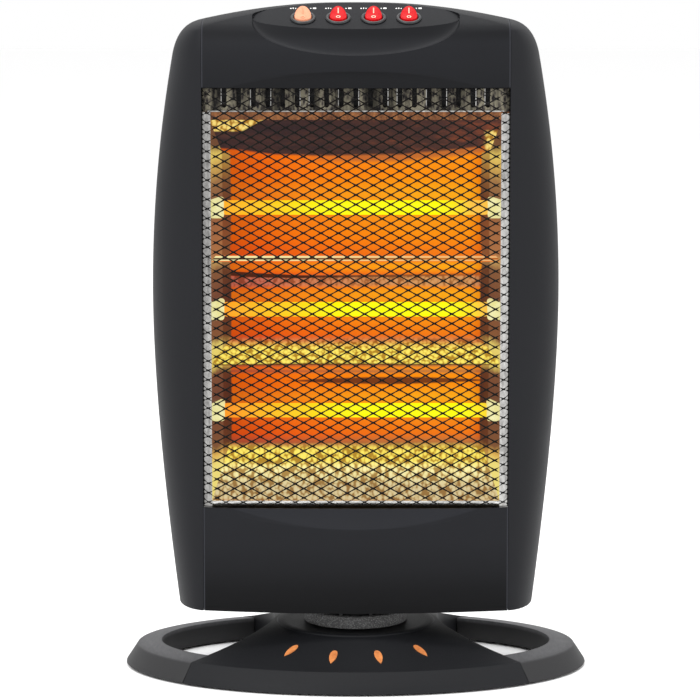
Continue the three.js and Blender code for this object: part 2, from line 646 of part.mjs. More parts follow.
// Plan outline of the head at one height, counter-clockwise from the middle of the front.
function headOutline(z, thin = 0) {
  const sample = Math.min(z + thin * (z > HEAD_TOP - FRONT_CROWN_DROP ? 1 : 0), HEAD_TOP);
  const w = Math.max(valueAt(SILHOUETTE, sample) - thin, 0.5);
  const front = Math.min(valueAt(FRONT_CURVE, sample) + thin, CROWN_Y - 0.2);
  const back = Math.max(valueAt(BACK_CURVE, sample) - thin, CROWN_Y + 0.2);
  const fore = (CROWN_Y - front) / (CROWN_Y - FRONT_Y);
  const aft = (back - CROWN_Y) / (BACK_Y - CROWN_Y);
  const knee = w * Math.min(JOINT_X / w, 0.9);
  const frontEdge = front + FRONT_BULGE * fore;
  const backEdge = back - BACK_BULGE * aft;
  const widest = CROWN_Y + (WIDEST_Y - CROWN_Y) * aft;
  const half = [];
  for (let i = 0; i < 5; i++) half.push([knee * i / 5, front + FRONT_BULGE * fore * (i / 5) ** 2]);
  const slope = 2 * FRONT_BULGE * fore / knee;
  const foreWing = new THREE.CubicBezierCurve(
    new THREE.Vector2(knee, frontEdge),
    new THREE.Vector2(knee + (w - knee) * 0.45, frontEdge + (w - knee) * 0.45 * slope),
    new THREE.Vector2(w, widest - (widest - frontEdge) * 0.62), new THREE.Vector2(w, widest));
  const aftWing = new THREE.CubicBezierCurve(
    new THREE.Vector2(w, widest), new THREE.Vector2(w, widest + (backEdge - widest) * 0.5),
    new THREE.Vector2(knee + (w - knee) * 0.5, backEdge - 1.5 * aft), new THREE.Vector2(knee, backEdge));
  foreWing.getPoints(6).slice(0, -1).forEach((p) => half.push([p.x, p.y]));
  aftWing.getPoints(4).slice(0, -1).forEach((p) => half.push([p.x, p.y]));
  for (let i = 3; i > 0; i--) half.push([knee * i / 3, back - BACK_BULGE * aft * (i / 3) ** 2]);
  const mirrored = half.slice(1).reverse().map(([x, y]) => [-x, y]);
  return [...half, [0, back], ...mirrored].map(([x, y]) => v3(x, y, z));
}

// Whole head as one form; thin > 0 gives the form inside the walls.
function headForm(thin = 0) {
  const levels = [];
  const flank = 8;
  const bend = HEAD_TOP - FRONT_CROWN_DROP;
  for (let i = 0; i < flank; i++) levels.push(HEAD_BOTTOM + (bend - HEAD_BOTTOM) * i / flank);
  const crown = 8;
  for (let i = 0; i <= crown; i++) {
    levels.push(bend + (HEAD_TOP - 0.25 - bend) * Math.sin(Math.PI / 2 * (i / crown)));
  }
  const top = HEAD_TOP - 0.25 - thin;
  const kept = levels.filter((z) => z < top - 0.05).concat(top);
  const rings = kept.map((z) => headOutline(z, thin));
  if (thin) rings.unshift(rings[0].map((p) => v3(p.x, p.y, HEAD_BOTTOM - 10)));
  return solid(skin(rings));
}

const PAD_CENTRE = v3(0, PAD_CENTRE_Y, HEAD_TOP - PAD_CENTRE_DROP);

// Point above the sloping pad's plane. v runs along the slope, w square to it.
function fromPad(x, v, w) {
  const [c, s] = [Math.cos(rad(PAD_TILT)), Math.sin(rad(PAD_TILT))];
  return v3(x, PAD_CENTRE.y + v * c - w * s, PAD_CENTRE.z + v * s + w * c);
}

// Lens-shaped space above the control pad, grown on all sides by an amount.
function abovePad(grow = 0) {
  const lens = (w) => Array.from({ length: PAD_STEPS * 2 }, (_, i) => {
    const a = Math.PI * i / PAD_STEPS;
    const deep = (Math.sin(a) < 0 ? PAD_FORE : PAD_AFT) + grow;
    return fromPad((PAD_HALF_WIDTH + grow) * Math.cos(a), deep * Math.sin(a), w);
  });
  return solid(skin([lens(-grow), lens(PAD_AFT)]));
}

// Front of the head at one place, where it rolls back to the crown.
function faceY(x, z) {
  const front = valueAt(FRONT_CURVE, z);
  return front + FRONT_BULGE * (CROWN_Y - front) / (CROWN_Y - FRONT_Y) * (x / JOINT_X) ** 2;
}

// Space in front of the pad. Its back is the dish, which rises from a crease on the face
// to the pad's front edge.
function dish(grow = 0) {
  const stations = Array.from({ length: PAD_STEPS + 1 }, (_, i) => {
    const a = Math.PI * (i / PAD_STEPS - 0.5);
    const [x, drop] = [PAD_HALF_WIDTH * Math.sin(a), DISH_DROP * Math.cos(a) + 2];
    const low = PAD_CENTRE.z - drop - grow;
    const crease = v3(x, faceY(x, low + grow) + grow - CREASE_LEAD, low);
    const edge = fromPad(x, -PAD_FORE * Math.cos(a), 0).add(v3(0, grow, 0));
    const back = [0, 0.06, 0.18, 0.4, 0.7, 1].map((t) =>
      v3(x, crease.y + (edge.y - crease.y) * Math.sqrt(t), crease.z + (edge.z - crease.z) * t));
    const [far, high] = [FRONT_Y - 2 * PAD_FORE, HEAD_TOP + PAD_FORE];
    return [...back, v3(x, edge.y, high), v3(x, far, high), v3(x, far, crease.z)];
  });
  if (grow) {
    [0, PAD_STEPS].forEach((k) => stations[k].forEach((p) => { p.x += Math.sign(p.x) * grow; }));
  }
  return solid(skin(stations));
}

// Shallow hollows in the front of the centre panels.
function scoop(halfWidth, halfHeight, z, grow) {
  const g = new THREE.SphereGeometry(1, 18, 12);
  g.rotateZ(Math.PI / 2).scale(halfWidth + grow, SCOOP_DEPTH + SCOOP_BODY + grow, halfHeight + grow);
  g.translate(0, FRONT_Y - SCOOP_BODY, z);
  // bent to follow the bulge of the front
  const p = g.attributes.position;
  for (let i = 0; i < p.count; i++) p.setY(i, p.getY(i) + FRONT_BULGE * (p.getX(i) / JOINT_X) ** 2);
  return solid(g);
}
const SCOOPS = [
  { halfWidth: JOINT_X * 1.62, halfHeight: UPPER_SCOOP, z: GRILLE_TOP - 1 },
  { halfWidth: JOINT_X * 1.57, halfHeight: LOWER_SCOOP, z: GRILLE_BOTTOM + 2 },
];

let outerForm = headForm().subtract(abovePad()).subtract(dish());
let innerForm = headForm(WALL).subtract(abovePad(WALL)).subtract(dish(WALL));
SCOOPS.forEach((s) => {
  outerForm = outerForm.subtract(scoop(s.halfWidth, s.halfHeight, s.z, 0));
  innerForm = innerForm.subtract(scoop(s.halfWidth, s.halfHeight, s.z, WALL));
});
const SHELL = outerForm.subtract(innerForm);

const frontEdgeY = FRONT_Y + FRONT_BULGE; // front of the side covers at the seam

function sideCover(side) {
  const far = HEAD_HALF_WIDTH + 10;
  const shell = SHELL.intersect(block(JOINT_X, far, -200, 200, 0, HEAD_TOP + 50));
  const web = (y0, y1) => outerForm.intersect(block(JOINT_X, JOINT_X + WALL, y0, y1, 0, HEAD_TOP + 50));
  const body = shell
    .add(web(FRONT_Y, frontEdgeY + FLANGE))
    .add(web(BACK_Y - BACK_BULGE - FLANGE, BACK_Y))
    .add(outerForm.intersect(block(JOINT_X, far, -200, 200, 0, HEAD_BOTTOM + WALL)));
  return side > 0 ? body : body.mirror([1, 0, 0]);
}

/* control pad */

// Moves a piece drawn flat, with its middle at the origin, onto the sloping pad.
function onPad(geometry, x) {
  return geometry.rotateX(rad(PAD_TILT)).translate(x, PAD_CENTRE.y, PAD_CENTRE.z);
}
const SWITCH_X = [-1.5, -0.5, 0.5, 1.5].map((k) => k * SWITCH_PITCH);
function padRod(radius, w0, w1, x, sides = 16) {
  const g = new THREE.CylinderGeometry(radius, radius, w1 - w0, sides).rotateX(Math.PI / 2);
  return solid(onPad(g.translate(0, 0, (w0 + w1) / 2), x));
}

function topCover() {
  let body = SHELL.intersect(
    block(-PANEL_HALF, PANEL_HALF, -200, CROWN_SEAM_Y, GRILLE_TOP + GAP, HEAD_TOP + 50));
  body = body.add(outerForm.intersect(
    block(-PANEL_HALF, PANEL_HALF, -200, frontEdgeY + 3, GRILLE_TOP + GAP, GRILLE_TOP + GAP + WALL)));
  SWITCH_X.forEach((x) => { body = body.subtract(padRod(SWITCH_RADIUS + GAP, -30, 30, x)); });
  return body;
}

function switchBody(x) {
  return padRod(SWITCH_RADIUS, -SWITCH_DEPTH, GAP + 0.2, x)
    .add(padRod(BEZEL_RADIUS, GAP, GAP + BEZEL_THICKNESS, x, 20))
    .subtract(padRod(ROCKER_RADIUS + 2 * GAP, ROCKER_FLOOR, BEZEL_THICKNESS * 4, x, 20));
}

// Round, hollow-topped rocker, its rear half up. It turns about an axis along X at its own middle.
function rocker(x) {
  const half = ROCKER_RADIUS;
  const outline = [
    [-half, ROCKER_HEIGHT], [-half * 0.5, ROCKER_HEIGHT - 1.6], [0, ROCKER_HEIGHT - 2.1],
    [half * 0.5, ROCKER_HEIGHT - 1.6], [half, ROCKER_HEIGHT], [half, 1], [half * 0.86, -3], [half * 0.45, -5],
    [-half * 0.45, -5], [-half * 0.86, -3], [-half, 1],
  ].map(([v, w]) => new THREE.Vector2(v, w));
  const g = new THREE.ExtrudeGeometry(new THREE.Shape(outline), { depth: 2 * half, bevelEnabled: false });
  // drawn in (v, w), pulled along X, then cut round
  g.translate(0, 0, -half).rotateY(Math.PI / 2).rotateX(Math.PI / 2);
  return solid(g).intersect(rod(half, -6, ROCKER_HEIGHT + 1, 0, 0, 20))
    .rotate([ROCKER_TILT + PAD_TILT, 0, 0])
    .translate([x, PAD_CENTRE.y, PAD_CENTRE.z]);
}

/* lower panel and rear cover */

function lowerPanel() {
  const z1 = GRILLE_BOTTOM - GAP;
  const back = frontEdgeY + FLANGE;
  const body = SHELL.intersect(block(-PANEL_HALF, PANEL_HALF, -200, back, 0, z1));
  return body
    .add(outerForm.intersect(block(-PANEL_HALF, PANEL_HALF, -200, frontEdgeY + 3, z1 - WALL, z1)));
}

function rearCover() {
  const clear = CROWN_SEAM_Y + GAP;
  const z1 = HEAD_TOP - HANDLE_TOP_DROP;
  const z0 = z1 - HANDLE_HEIGHT;
  const half = HANDLE_WIDTH / 2;
  const floorY = BACK_Y - HANDLE_DEPTH;
  let body = SHELL.intersect(block(-PANEL_HALF, PANEL_HALF, clear, 200, 0, HEAD_TOP + 50));
  // recessed carrying handle
  body = body.add(outerForm.intersect(
    block(-half - WALL, half + WALL, floorY - WALL, 200, z0 - WALL, z1 + WALL)));
  body = body.subtract(block(-half, half, floorY, 200, z0, z1));
  const slot = (x, z) => block(x - REAR_SLOT_WIDTH / 2, x + REAR_SLOT_WIDTH / 2, clear + 12, 200,
    z - REAR_SLOT_LENGTH / 2, z + REAR_SLOT_LENGTH / 2);
  for (let i = 0; i < REAR_SLOTS; i++) {
    const x = (i - (REAR_SLOTS - 1) / 2) * REAR_SLOT_PITCH;
    [HEAD_BOTTOM + HEAD_HEIGHT * 0.62, HEAD_BOTTOM + HEAD_HEIGHT * 0.14].forEach((z) => {
      body = body.subtract(slot(x, z));
    });
  }
  return body;
}

// Floor of the head with the hollow boss that turns in the neck ring.
function headFloor() {
  const plan = inset(headOutline(HEAD_BOTTOM), WALL + GAP);
  let body = prism(plan, HEAD_BOTTOM, HEAD_BOTTOM + WALL)
    .intersect(block(-PANEL_HALF, PANEL_HALF, -200, 200, 0, HEAD_BOTTOM + WALL));
  body = body.add(rod(BOSS_RADIUS, BOSS_BOTTOM, HEAD_BOTTOM + 1, 0, 0, 36));
  [-1, 1].forEach((s) => {
    const x = s * 11.4;
    body = body.add(
      block(x - 1.2, x + 1.2, -NECK_RADIUS + 1, -BOSS_RADIUS + 8, HEAD_BOTTOM - 8, HEAD_BOTTOM + 1));
  });
  return body
    .subtract(rod(BOSS_RADIUS - BOSS_WALL, BOSS_FLOOR, HEAD_BOTTOM + 20, 0, 0, 28))
    .subtract(rod(SPINDLE_RADIUS + GAP, 0, HEAD_BOTTOM));
}

function spindle() {
  const flange = BOSS_FLOOR + GAP;
  return rod(SPINDLE_RADIUS, GEARBOX_TOP - SPINDLE_ENTRY, flange + 1)
    .add(rod(SPINDLE_FLANGE, flange, flange + 1.8))
    .subtract(rod(SPINDLE_BORE, 0, HEAD_BOTTOM, 0, 0, 24));
}

/* ------------------------------ heating section ------------------------------ */

// Side view of the pressed reflector: vent band, three troughs and a bottom lip.
function reflectorPath() {
  const points = [];
  const front = REFLECTOR_FRONT_Y;
  const back = REFLECTOR_BACK_Y;
  const top = TUBE_HEIGHTS[2] + TUBE_PITCH / 2 + REFLECTOR_TOP_REACH;
  points.push([front, top]);
  [...TUBE_HEIGHTS].reverse().forEach((z, k) => {
    const upper = k === 0 ? top - 1 : z + TUBE_PITCH / 2 - 1;
    const lower = k === 2 ? z - TUBE_PITCH / 2 - REFLECTOR_BOTTOM_REACH : z - TUBE_PITCH / 2 + 1;
    if (k > 0) points.push([front + 2, upper + 1]);
    points.push([back - TROUGH_DEPTH_STEP, z + TROUGH_HALF_BACK]);
    points.push([back, z + TROUGH_HALF_BACK * 0.5]);
    points.push([back, z - TROUGH_HALF_BACK * 0.5]);
    points.push([back - TROUGH_DEPTH_STEP, z - TROUGH_HALF_BACK]);
    if (k === 2) points.push([front, lower]);
  });
  return points;
}

function sheetProfile(path, thickness, halfWidth) {
  // the path's far side is the same path moved back along its normals
  const far = path.map(([y, z], i) => {
    const [y0, z0] = path[Math.max(i - 1, 0)];
    const [y1, z1] = path[Math.min(i + 1, path.length - 1)];
    const length = Math.hypot(y1 - y0, z1 - z0);
    return [y - thickness * (z1 - z0) / length, z + thickness * (y1 - y0) / length];
  });
  const shape = new THREE.Shape([...path, ...far.reverse()].map(([y, z]) => new THREE.Vector2(y, z)));
  const g = new THREE.ExtrudeGeometry(shape, { depth: 2 * halfWidth, bevelEnabled: false });
  // drawn in (y, z), pulled along X
  g.translate(0, 0, -halfWidth).rotateY(Math.PI / 2).rotateX(Math.PI / 2);
  return solid(g);
}

function ventBand() {
  const y0 = REFLECTOR_FRONT_Y - GAP - SHEET;
  const z1 = GRILLE_TOP + 2;
  const z0 = z1 - VENT_BAND_HEIGHT - 6;
  let body = block(-REFLECTOR_HALF_WIDTH, REFLECTOR_HALF_WIDTH, y0, y0 + SHEET, z0, z1);
  for (let i = 0; i < VENT_SLOTS; i++) {
    const x = (i - (VENT_SLOTS - 1) / 2) * VENT_SLOT_PITCH;
    const from = v3(0, z0 + 5 + VENT_SLOT_WIDTH / 2, 0);
    const shape = new THREE.Shape();
    const r = VENT_SLOT_WIDTH / 2;
    shape.absarc(x, from.y, r, Math.PI, 2 * Math.PI, false);
    shape.lineTo(x + r, z1 - 3);
    shape.lineTo(x - r, z1 - 3);
    const g = new THREE.ExtrudeGeometry(shape, { depth: 4, bevelEnabled: false, curveSegments: 2 });
    body = body.subtract(solid(g.rotateX(Math.PI / 2).translate(0, y0 + 3, 0)));
  }
  return body;
}

// Upright bracket at one end of the troughs, with a bright front flange.
function endBracket(side) {
  const x0 = REFLECTOR_HALF_WIDTH + GAP;
  const x1 = x0 + SHEET;
  const z0 = GRILLE_BOTTOM - 4;
  const z1 = GRILLE_TOP + 4;
  const y0 = REFLECTOR_FRONT_Y - GAP - SHEET;
  let body = block(x0, x1, y0, REFLECTOR_BACK_Y, z0, z1)
    .add(block(x0, JOINT_X - GAP, y0, y0 + SHEET, z0, z1));
  TUBE_HEIGHTS.forEach((z) => {
    body = body.subtract(rodAlongX(CAP_NECK_RADIUS + GAP, x0 - 5, x1 + 5, z));
  });
  return side > 0 ? body : body.mirror([1, 0, 0]);
}

function rodAlongX(radius, x0, x1, z, y = TUBE_Y, sides = 12) {
  return solid(new THREE.CylinderGeometry(radius, radius, x1 - x0, sides)
    .rotateZ(Math.PI / 2).translate((x0 + x1) / 2, y, z));
}

// Square ceramic holder with a round neck that goes through the end bracket.
function ceramicCap(side, z) {
  const x1 = REFLECTOR_HALF_WIDTH;
  const x0 = TUBE_LENGTH / 2 - CAP_OVERLAP;
  const body = block(x0, x1, TUBE_Y - CAP_HALF, TUBE_Y + CAP_HALF, z - CAP_HALF, z + CAP_HALF)
    .add(rodAlongX(CAP_NECK_RADIUS, x1 - 1, x1 + CAP_NECK_LENGTH, z))
    .subtract(rodAlongX(TUBE_RADIUS + GAP, x0 - 1, TUBE_LENGTH / 2 + GAP, z));
  return side > 0 ? body : body.mirror([1, 0, 0]);
}

/* ------------------------------ expanded-metal grille ------------------------------ */

// Depth of the sheet at a point of its face: flat in the middle, bent back along its edges.
function grilleDepth(x, z) {
  const bend = (inside) => {
    if (inside >= GRILLE_EDGE_BEND) return 0;
    const t = 1 - inside / GRILLE_EDGE_BEND;
    return GRILLE_EDGE_DEPTH * t * t;
  };
  const half = JOINT_X - GAP;
  return GRILLE_FRONT_Y
    + Math.max(bend(half - Math.abs(x)), bend(z - GRILLE_BOTTOM) * 0.8, bend(GRILLE_TOP - z) * 0.8);
}

// One sheet cut and drawn into diamonds. Every strand has a ridge in front and a flat back,
// and four strands meet at each bond.
function grille() {
  const half = JOINT_X - 2 * GAP;
  const width = 2 * half;
  const height = GRILLE_TOP - GRILLE_BOTTOM - 2 * GAP;
  const dx = width / GRILLE_COLUMNS / 2;
  const dz = height / GRILLE_ROWS / 2;
  const z0 = GRILLE_BOTTOM + GAP;
  const positions = [];
  const triangles = [];
  const seen = new Map();
  const vertex = (x, z, back) => {
    const key = [x.toFixed(4), z.toFixed(4), back].join(' ');
    if (!seen.has(key)) {
      seen.set(key, positions.length / 3);
      positions.push(x, grilleDepth(x, z) + (back ? STRAND_THICKNESS : 0), z);
    }
    return seen.get(key);
  };
  // strand half width measured along x and along z
  const length = Math.hypot(dx, dz);
  const ex = STRAND_WIDTH / 2 * length / dz;
  const ez = STRAND_WIDTH / 2 * length / dx;
  const columns = 2 * GRILLE_COLUMNS;
  const rows = 2 * GRILLE_ROWS;
  const quad = (a, b, c, d) => triangles.push(a, b, c, a, c, d);
  for (let i = 0; i <= columns; i++) {
    for (let j = 0; j <= rows; j++) {
      if ((i + j) % 2) continue;
      // a gap is centred here; its corners lie on the four bonds around it
      const [cx, cz] = [-half + i * dx, z0 + j * dz];
      const corners = [[1, 0], [0, 1], [-1, 0], [0, -1]];
      const inRange = corners.map(([p, q]) => i + p >= 0 && i + p <= columns && j + q >= 0 && j + q <= rows);
      const bond = (k) => [cx + corners[k][0] * dx, cz + corners[k][1] * dz];
      const inner = (k) => [cx + corners[k][0] * (dx - ex), cz + corners[k][1] * (dz - ez)];
      if (inRange.every(Boolean)) {
        for (let k = 0; k < 4; k++) {
          const n = (k + 1) % 4;
          const [b0, b1] = [vertex(...bond(k), false), vertex(...bond(n), false)];
          const [f0, f1] = [vertex(...inner(k), true), vertex(...inner(n), true)];
          quad(b1, b0, f0, f1); // front slope down to the gap's edge
          const [r0, r1] = [vertex(...bond(k), true), vertex(...bond(n), true)];
          quad(r0, r1, f1, f0); // flat back
        }
      } else {
        // part gaps along the border are closed by a selvedge
        const kept = corners.map((_, k) => k).filter((k) => inRange[k]);
        const start = kept.find((k) => !inRange[(k + 3) % 4]);
        const chain = [start, (start + 1) % 4, (start + 2) % 4].slice(0, kept.length === 3 ? 3 : 2);
        const fan = kept.length === 3 ? chain : chain;
        const centreFront = vertex(cx, cz, false);
        const centreBack = vertex(cx, cz, true);
        for (let k = 0; k + 1 < fan.length; k++) {
          triangles.push(centreFront, vertex(...bond(fan[k + 1]), false), vertex(...bond(fan[k]), false));
          triangles.push(centreBack, vertex(...bond(fan[k]), true), vertex(...bond(fan[k + 1]), true));
        }
      }
    }
  }
  // walls round the outside
  const wall = (p, q) =>
    quad(vertex(...p, false), vertex(...q, false), vertex(...q, true), vertex(...p, true));
  const at = (i, j) => [-half + i * dx, z0 + j * dz];
  for (let i = 0; i < columns; i++) { wall(at(i, 0), at(i + 1, 0)); wall(at(i + 1, rows), at(i, rows)); }
  for (let j = 0; j < rows; j++) { wall(at(columns, j), at(columns, j + 1)); wall(at(0, j + 1), at(0, j)); }
  return solid(outward(indexed(positions, triangles)));
}

/* ------------------------------ head assembly ------------------------------ */

function terminalBlock() {
  const y1 = BACK_Y - WALL - TERMINAL_DEPTH;
  const y0 = y1 - TERMINAL_DEPTH;
  const z0 = HEAD_BOTTOM + WALL + GAP;
  const z1 = z0 + TERMINAL_HEIGHT;
  let body = block(-TERMINAL_HALF_WIDTH, TERMINAL_HALF_WIDTH, y0, y1, z0, z1);
  for (let i = -2; i <= 2; i++) {
    const [x0, x1] = [-1, 1].map((s) => i * TERMINAL_PITCH + s * TERMINAL_SLOT / 2);
    body = body.subtract(block(x0, x1, y0 - 1, (y0 + y1) / 2 + 1, (z0 + z1) / 2, z1 + 1));
  }
  return body;
}

function thermalCutOut() {
  const z = TUBE_HEIGHTS[2];
  const y0 = REFLECTOR_BACK_Y + SHEET + GAP;
  const half = CUT_OUT_SIZE / 2;
  return block(-half, half, y0, y0 + CUT_OUT_DEPTH, z - half * 0.9, z + half * 0.9)
    .add(block(-half * 1.5, half * 1.5, y0, y0 + SHEET * 1.2, z - half * 0.45, z + half * 0.45));
}

function addHead() {
  const head = new THREE.Group();
  heater.add(head);
  add('head_floor', headFloor(), DARK_PLASTIC, head);
  add('swivel_spindle', spindle(), STEEL, head);
  add('spindle_retainer',
    ring(RETAINER_RADIUS, SPINDLE_RADIUS + GAP, RETAINER_BOTTOM, RETAINER_BOTTOM + RETAINER_THICKNESS),
    STEEL, head);
  add('side_cover_right', sideCover(1), CHARCOAL, head);
  add('side_cover_left', sideCover(-1), CHARCOAL, head);
  add('top_cover', topCover(), CHARCOAL_TOP, head);
  add('lower_front_panel', lowerPanel(), CHARCOAL, head);
  add('rear_cover', rearCover(), CHARCOAL, head);
  add('front_grille', grille(), MESH_BLACK, head);
  add('reflector', sheetProfile(reflectorPath(), SHEET, REFLECTOR_HALF_WIDTH), MIRROR_ALU, head);
  add('vent_band', ventBand(), SILVER, head);
  add('end_bracket_right', endBracket(1), SILVER, head);
  add('end_bracket_left', endBracket(-1), SILVER, head);
  const rows = ['lower', 'middle', 'upper'];
  TUBE_HEIGHTS.forEach((z, k) => {
    add(`halogen_tube_${rows[k]}`,
      rodAlongX(TUBE_RADIUS, -TUBE_LENGTH / 2, TUBE_LENGTH / 2, z), TUBE_GLOW, head);
    add(`ceramic_cap_${rows[k]}_right`, ceramicCap(1, z), CERAMIC, head);
    add(`ceramic_cap_${rows[k]}_left`, ceramicCap(-1, z), CERAMIC, head);
  });
  SWITCH_X.forEach((x, k) => {
    add(`switch_body_${k + 1}`, switchBody(x), SWITCH_BLACK, head);
    add(`rocker_${k + 1}`, rocker(x), k === 0 ? ROCKER_PEACH : ROCKER_RED, head);
  });
  add('terminal_block', terminalBlock(), NYLON, head);
  add('thermal_cut_out', thermalCutOut(), BRASS, head);
}

addStand();
addHead();

export default heater;
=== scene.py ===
"""Looks of a halogen heater: three glowing tubes behind a grille, on a swivelling oval stand"""

import math

import bmesh
import bpy
from bpy.props import FloatProperty, FloatVectorProperty, IntProperty, PointerProperty
from mathutils import Matrix, Vector


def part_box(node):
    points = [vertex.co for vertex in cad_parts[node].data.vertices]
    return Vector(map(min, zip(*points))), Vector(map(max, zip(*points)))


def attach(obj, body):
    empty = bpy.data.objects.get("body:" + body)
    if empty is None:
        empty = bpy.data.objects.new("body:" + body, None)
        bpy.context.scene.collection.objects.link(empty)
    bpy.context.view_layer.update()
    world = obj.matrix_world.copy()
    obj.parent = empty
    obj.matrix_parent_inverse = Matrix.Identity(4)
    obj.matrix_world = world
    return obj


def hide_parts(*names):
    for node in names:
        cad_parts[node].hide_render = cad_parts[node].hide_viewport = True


bl_info = {
    "name": "Halogen heater looks",
    "version": (1, 0, 0),
    "blender": (4, 5, 0),
    "location": "View3D > Sidebar > Heater",
    "description": "Builds the mouldings, grille, glowing reflector, switches and stand of a halogen heater",
    "category": "Object",
}

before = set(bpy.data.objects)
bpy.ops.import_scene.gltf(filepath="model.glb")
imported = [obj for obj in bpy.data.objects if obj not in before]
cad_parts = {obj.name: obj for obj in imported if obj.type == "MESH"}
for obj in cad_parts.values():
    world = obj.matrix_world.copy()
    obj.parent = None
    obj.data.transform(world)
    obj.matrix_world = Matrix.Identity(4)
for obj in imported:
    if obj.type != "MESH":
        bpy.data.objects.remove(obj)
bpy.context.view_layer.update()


def length(name, description, millimetres):
    return FloatProperty(name=name, description=description, default=millimetres / 1000, unit="LENGTH",
                         precision=4)


def colour(name, description, rgb):
    return FloatVectorProperty(name=name, description=description, default=rgb, subtype="COLOR", size=3,
                               min=0, max=1)


class StandSizes(bpy.types.PropertyGroup):
    """Oval stand and the round neck on it"""
    half_width: length("Half width", "Half width of the oval on the floor", 177.5)
    half_depth: length("Half depth", "Half depth of the oval on the floor", 117.5)
    ridge_side: length("Ridge inset, side", "Lean of the outer wall at the sides", 9.2)
    ridge_front: length("Ridge inset, front", "Lean of the outer wall at the front", 11.5)
    rim_width: length("Rim width", "Width of the flat top of the side arcs", 18.5)
    rim_height: length("Rim height", "Outer ridge above the floor", 16)
    rim_inner_height: length("Inner rim height", "Inner edge of the side arcs above the floor", 18.5)
    floor_gap: length("Floor gap", "Underside of the stand above the floor", 1.5)
    wall: length("Wall", "Moulded wall", 2.5)
    collar_radius: length("Plateau radius", "Round plateau in the middle", 61)
    plateau: length("Plateau height", "Plateau above the floor", 34.2)
    waist_half: length("Waist", "Half width of the pedestal at its narrowest", 63)
    waist_y: length("Waist place", "How far back the narrowest place lies", 14)
    front_seam: FloatProperty(name="Front seam", description="Where the side arcs meet the pedestal in front",
                              default=math.radians(42.5), subtype="ANGLE")
    rear_seam: FloatProperty(name="Rear seam", description="Where the side arcs meet the pedestal behind",
                             default=math.radians(58), subtype="ANGLE")
    fan_sag: FloatProperty(name="Hollow", description="1 is a straight slope, more is a hollow one",
                           default=1.12)
    neck_radius: length("Neck radius", "Round neck under the head", 38)
    neck_bore: length("Neck bore", "Hole in the neck", 31.2)
    neck_height: length("Neck height", "Height of the neck ring", 9.2)
    leaf_length: length("Leaf length", "Leaf inserts in the front slope", 17.5)
    leaf_width: length("Leaf width", "Leaf inserts in the front slope", 5.6)
    leaf_radius: length("Leaf place", "Distance of the leaves from the middle", 87)
    leaf_pitch: FloatProperty(name="Leaf pitch", description="Angle between leaves", default=math.radians(23),
                              subtype="ANGLE")


class HeadSizes(bpy.types.PropertyGroup):
    """Outline of the head"""
    bottom: length("Bottom", "Underside of the head above the floor", 52.2)
    top: length("Top", "Crown of the head above the floor", 511.4)
    half_width: length("Half width", "Half width at the widest", 154.7)
    widest: length("Widest place", "Height of the widest place above the underside", 239)
    foot_half: length("Foot half width", "Half width at the underside", 135.6)
    shoulder_half: length("Shoulder half width", "Half width at the shoulder", 138.6)
    shoulder_drop: length("Shoulder drop", "Shoulder below the crown", 39)
    shoulder_reach: length("Shoulder reach", "How far out the shoulder is drawn", 134.5)
    shoulder_rise: length("Shoulder rise", "Height of the shoulder's drawing point below the crown", 17.6)
    crown_half: length("Crown half width", "Half width of the crown arc", 119)
    crown_drop: length("Crown drop", "Ends of the crown arc below its middle", 13.9)
    front: length("Front", "Foremost plane", -66)
    back: length("Back", "Rearmost plane", 46)
    crown_y: length("Crown place", "Where the crown lies from front to back", -18.5)
    widest_y: length("Widest from front", "Where the flanks are widest from front to back", -6)
    front_bulge: length("Front bulge", "How far the front swells in the middle", 12)
    back_bulge: length("Back bulge", "How far the back swells in the middle", 10)
    front_crown: length("Front crown drop", "Height over which the front rolls back", 45)
    back_crown: length("Back crown drop", "Height over which the back rolls forward", 66)
    joint: length("Joint", "Seam between centre panels and side covers", 115.6)
    gap: length("Gap", "Clearance between neighbouring pieces", 0.3)
    wall: length("Wall", "Moulded wall", 2.5)
    opening_bottom: length("Opening bottom", "Lower edge of the grille above the floor", 132.2)
    opening_top: length("Opening top", "Upper edge of the grille above the floor", 450.2)
    crown_seam: length("Crown seam", "Seam between top cover and rear cover", 8)
    scoop_depth: length("Scoop depth", "Depth of the shallow hollows", 5.5)
    arch_half: length("Arch half width", "Hollow above the grille", 100)
    arch_rise: length("Arch rise", "Hollow above the grille, up from its edge", 14)
    bow_half: length("Bow half width", "Hollow below the grille", 97)
    bow_drop: length("Bow drop", "Hollow below the grille, down from its edge", 16)


class PadSizes(bpy.types.PropertyGroup):
    """Sloping control pad and its switches"""
    tilt: FloatProperty(name="Pad tilt", description="Slope of the pad", default=math.radians(24.5),
                        subtype="ANGLE")
    centre_y: length("Pad place", "Middle of the pad from front to back", -40.8)
    centre_z: length("Pad height", "Middle of the pad above the floor", 501.0)
    half_width: length("Pad half width", "Lens-shaped pad from its middle to its tips", 77.5)
    fore: length("Pad fore", "From the row of switches to the front edge", 16.5)
    aft: length("Pad aft", "From the row of switches to the rear edge", 27)
    dish_drop: length("Dish drop", "Crease of the dish in front of the pad, down from the tips", 24)
    pitch: length("Switch pitch", "Distance between switches", 26.4)
    bezel: length("Bezel radius", "Round bezel of a switch", 9.55)
    bezel_height: length("Bezel height", "Bezel above the pad", 1.9)
    rocker: length("Rocker radius", "Round rocker", 6.3)
    rocker_height: length("Rocker height", "Rocker above the pad", 5.8)
    rocker_tilt: FloatProperty(name="Rocker tilt", description="Either side of the middle",
                               default=math.radians(12), subtype="ANGLE")


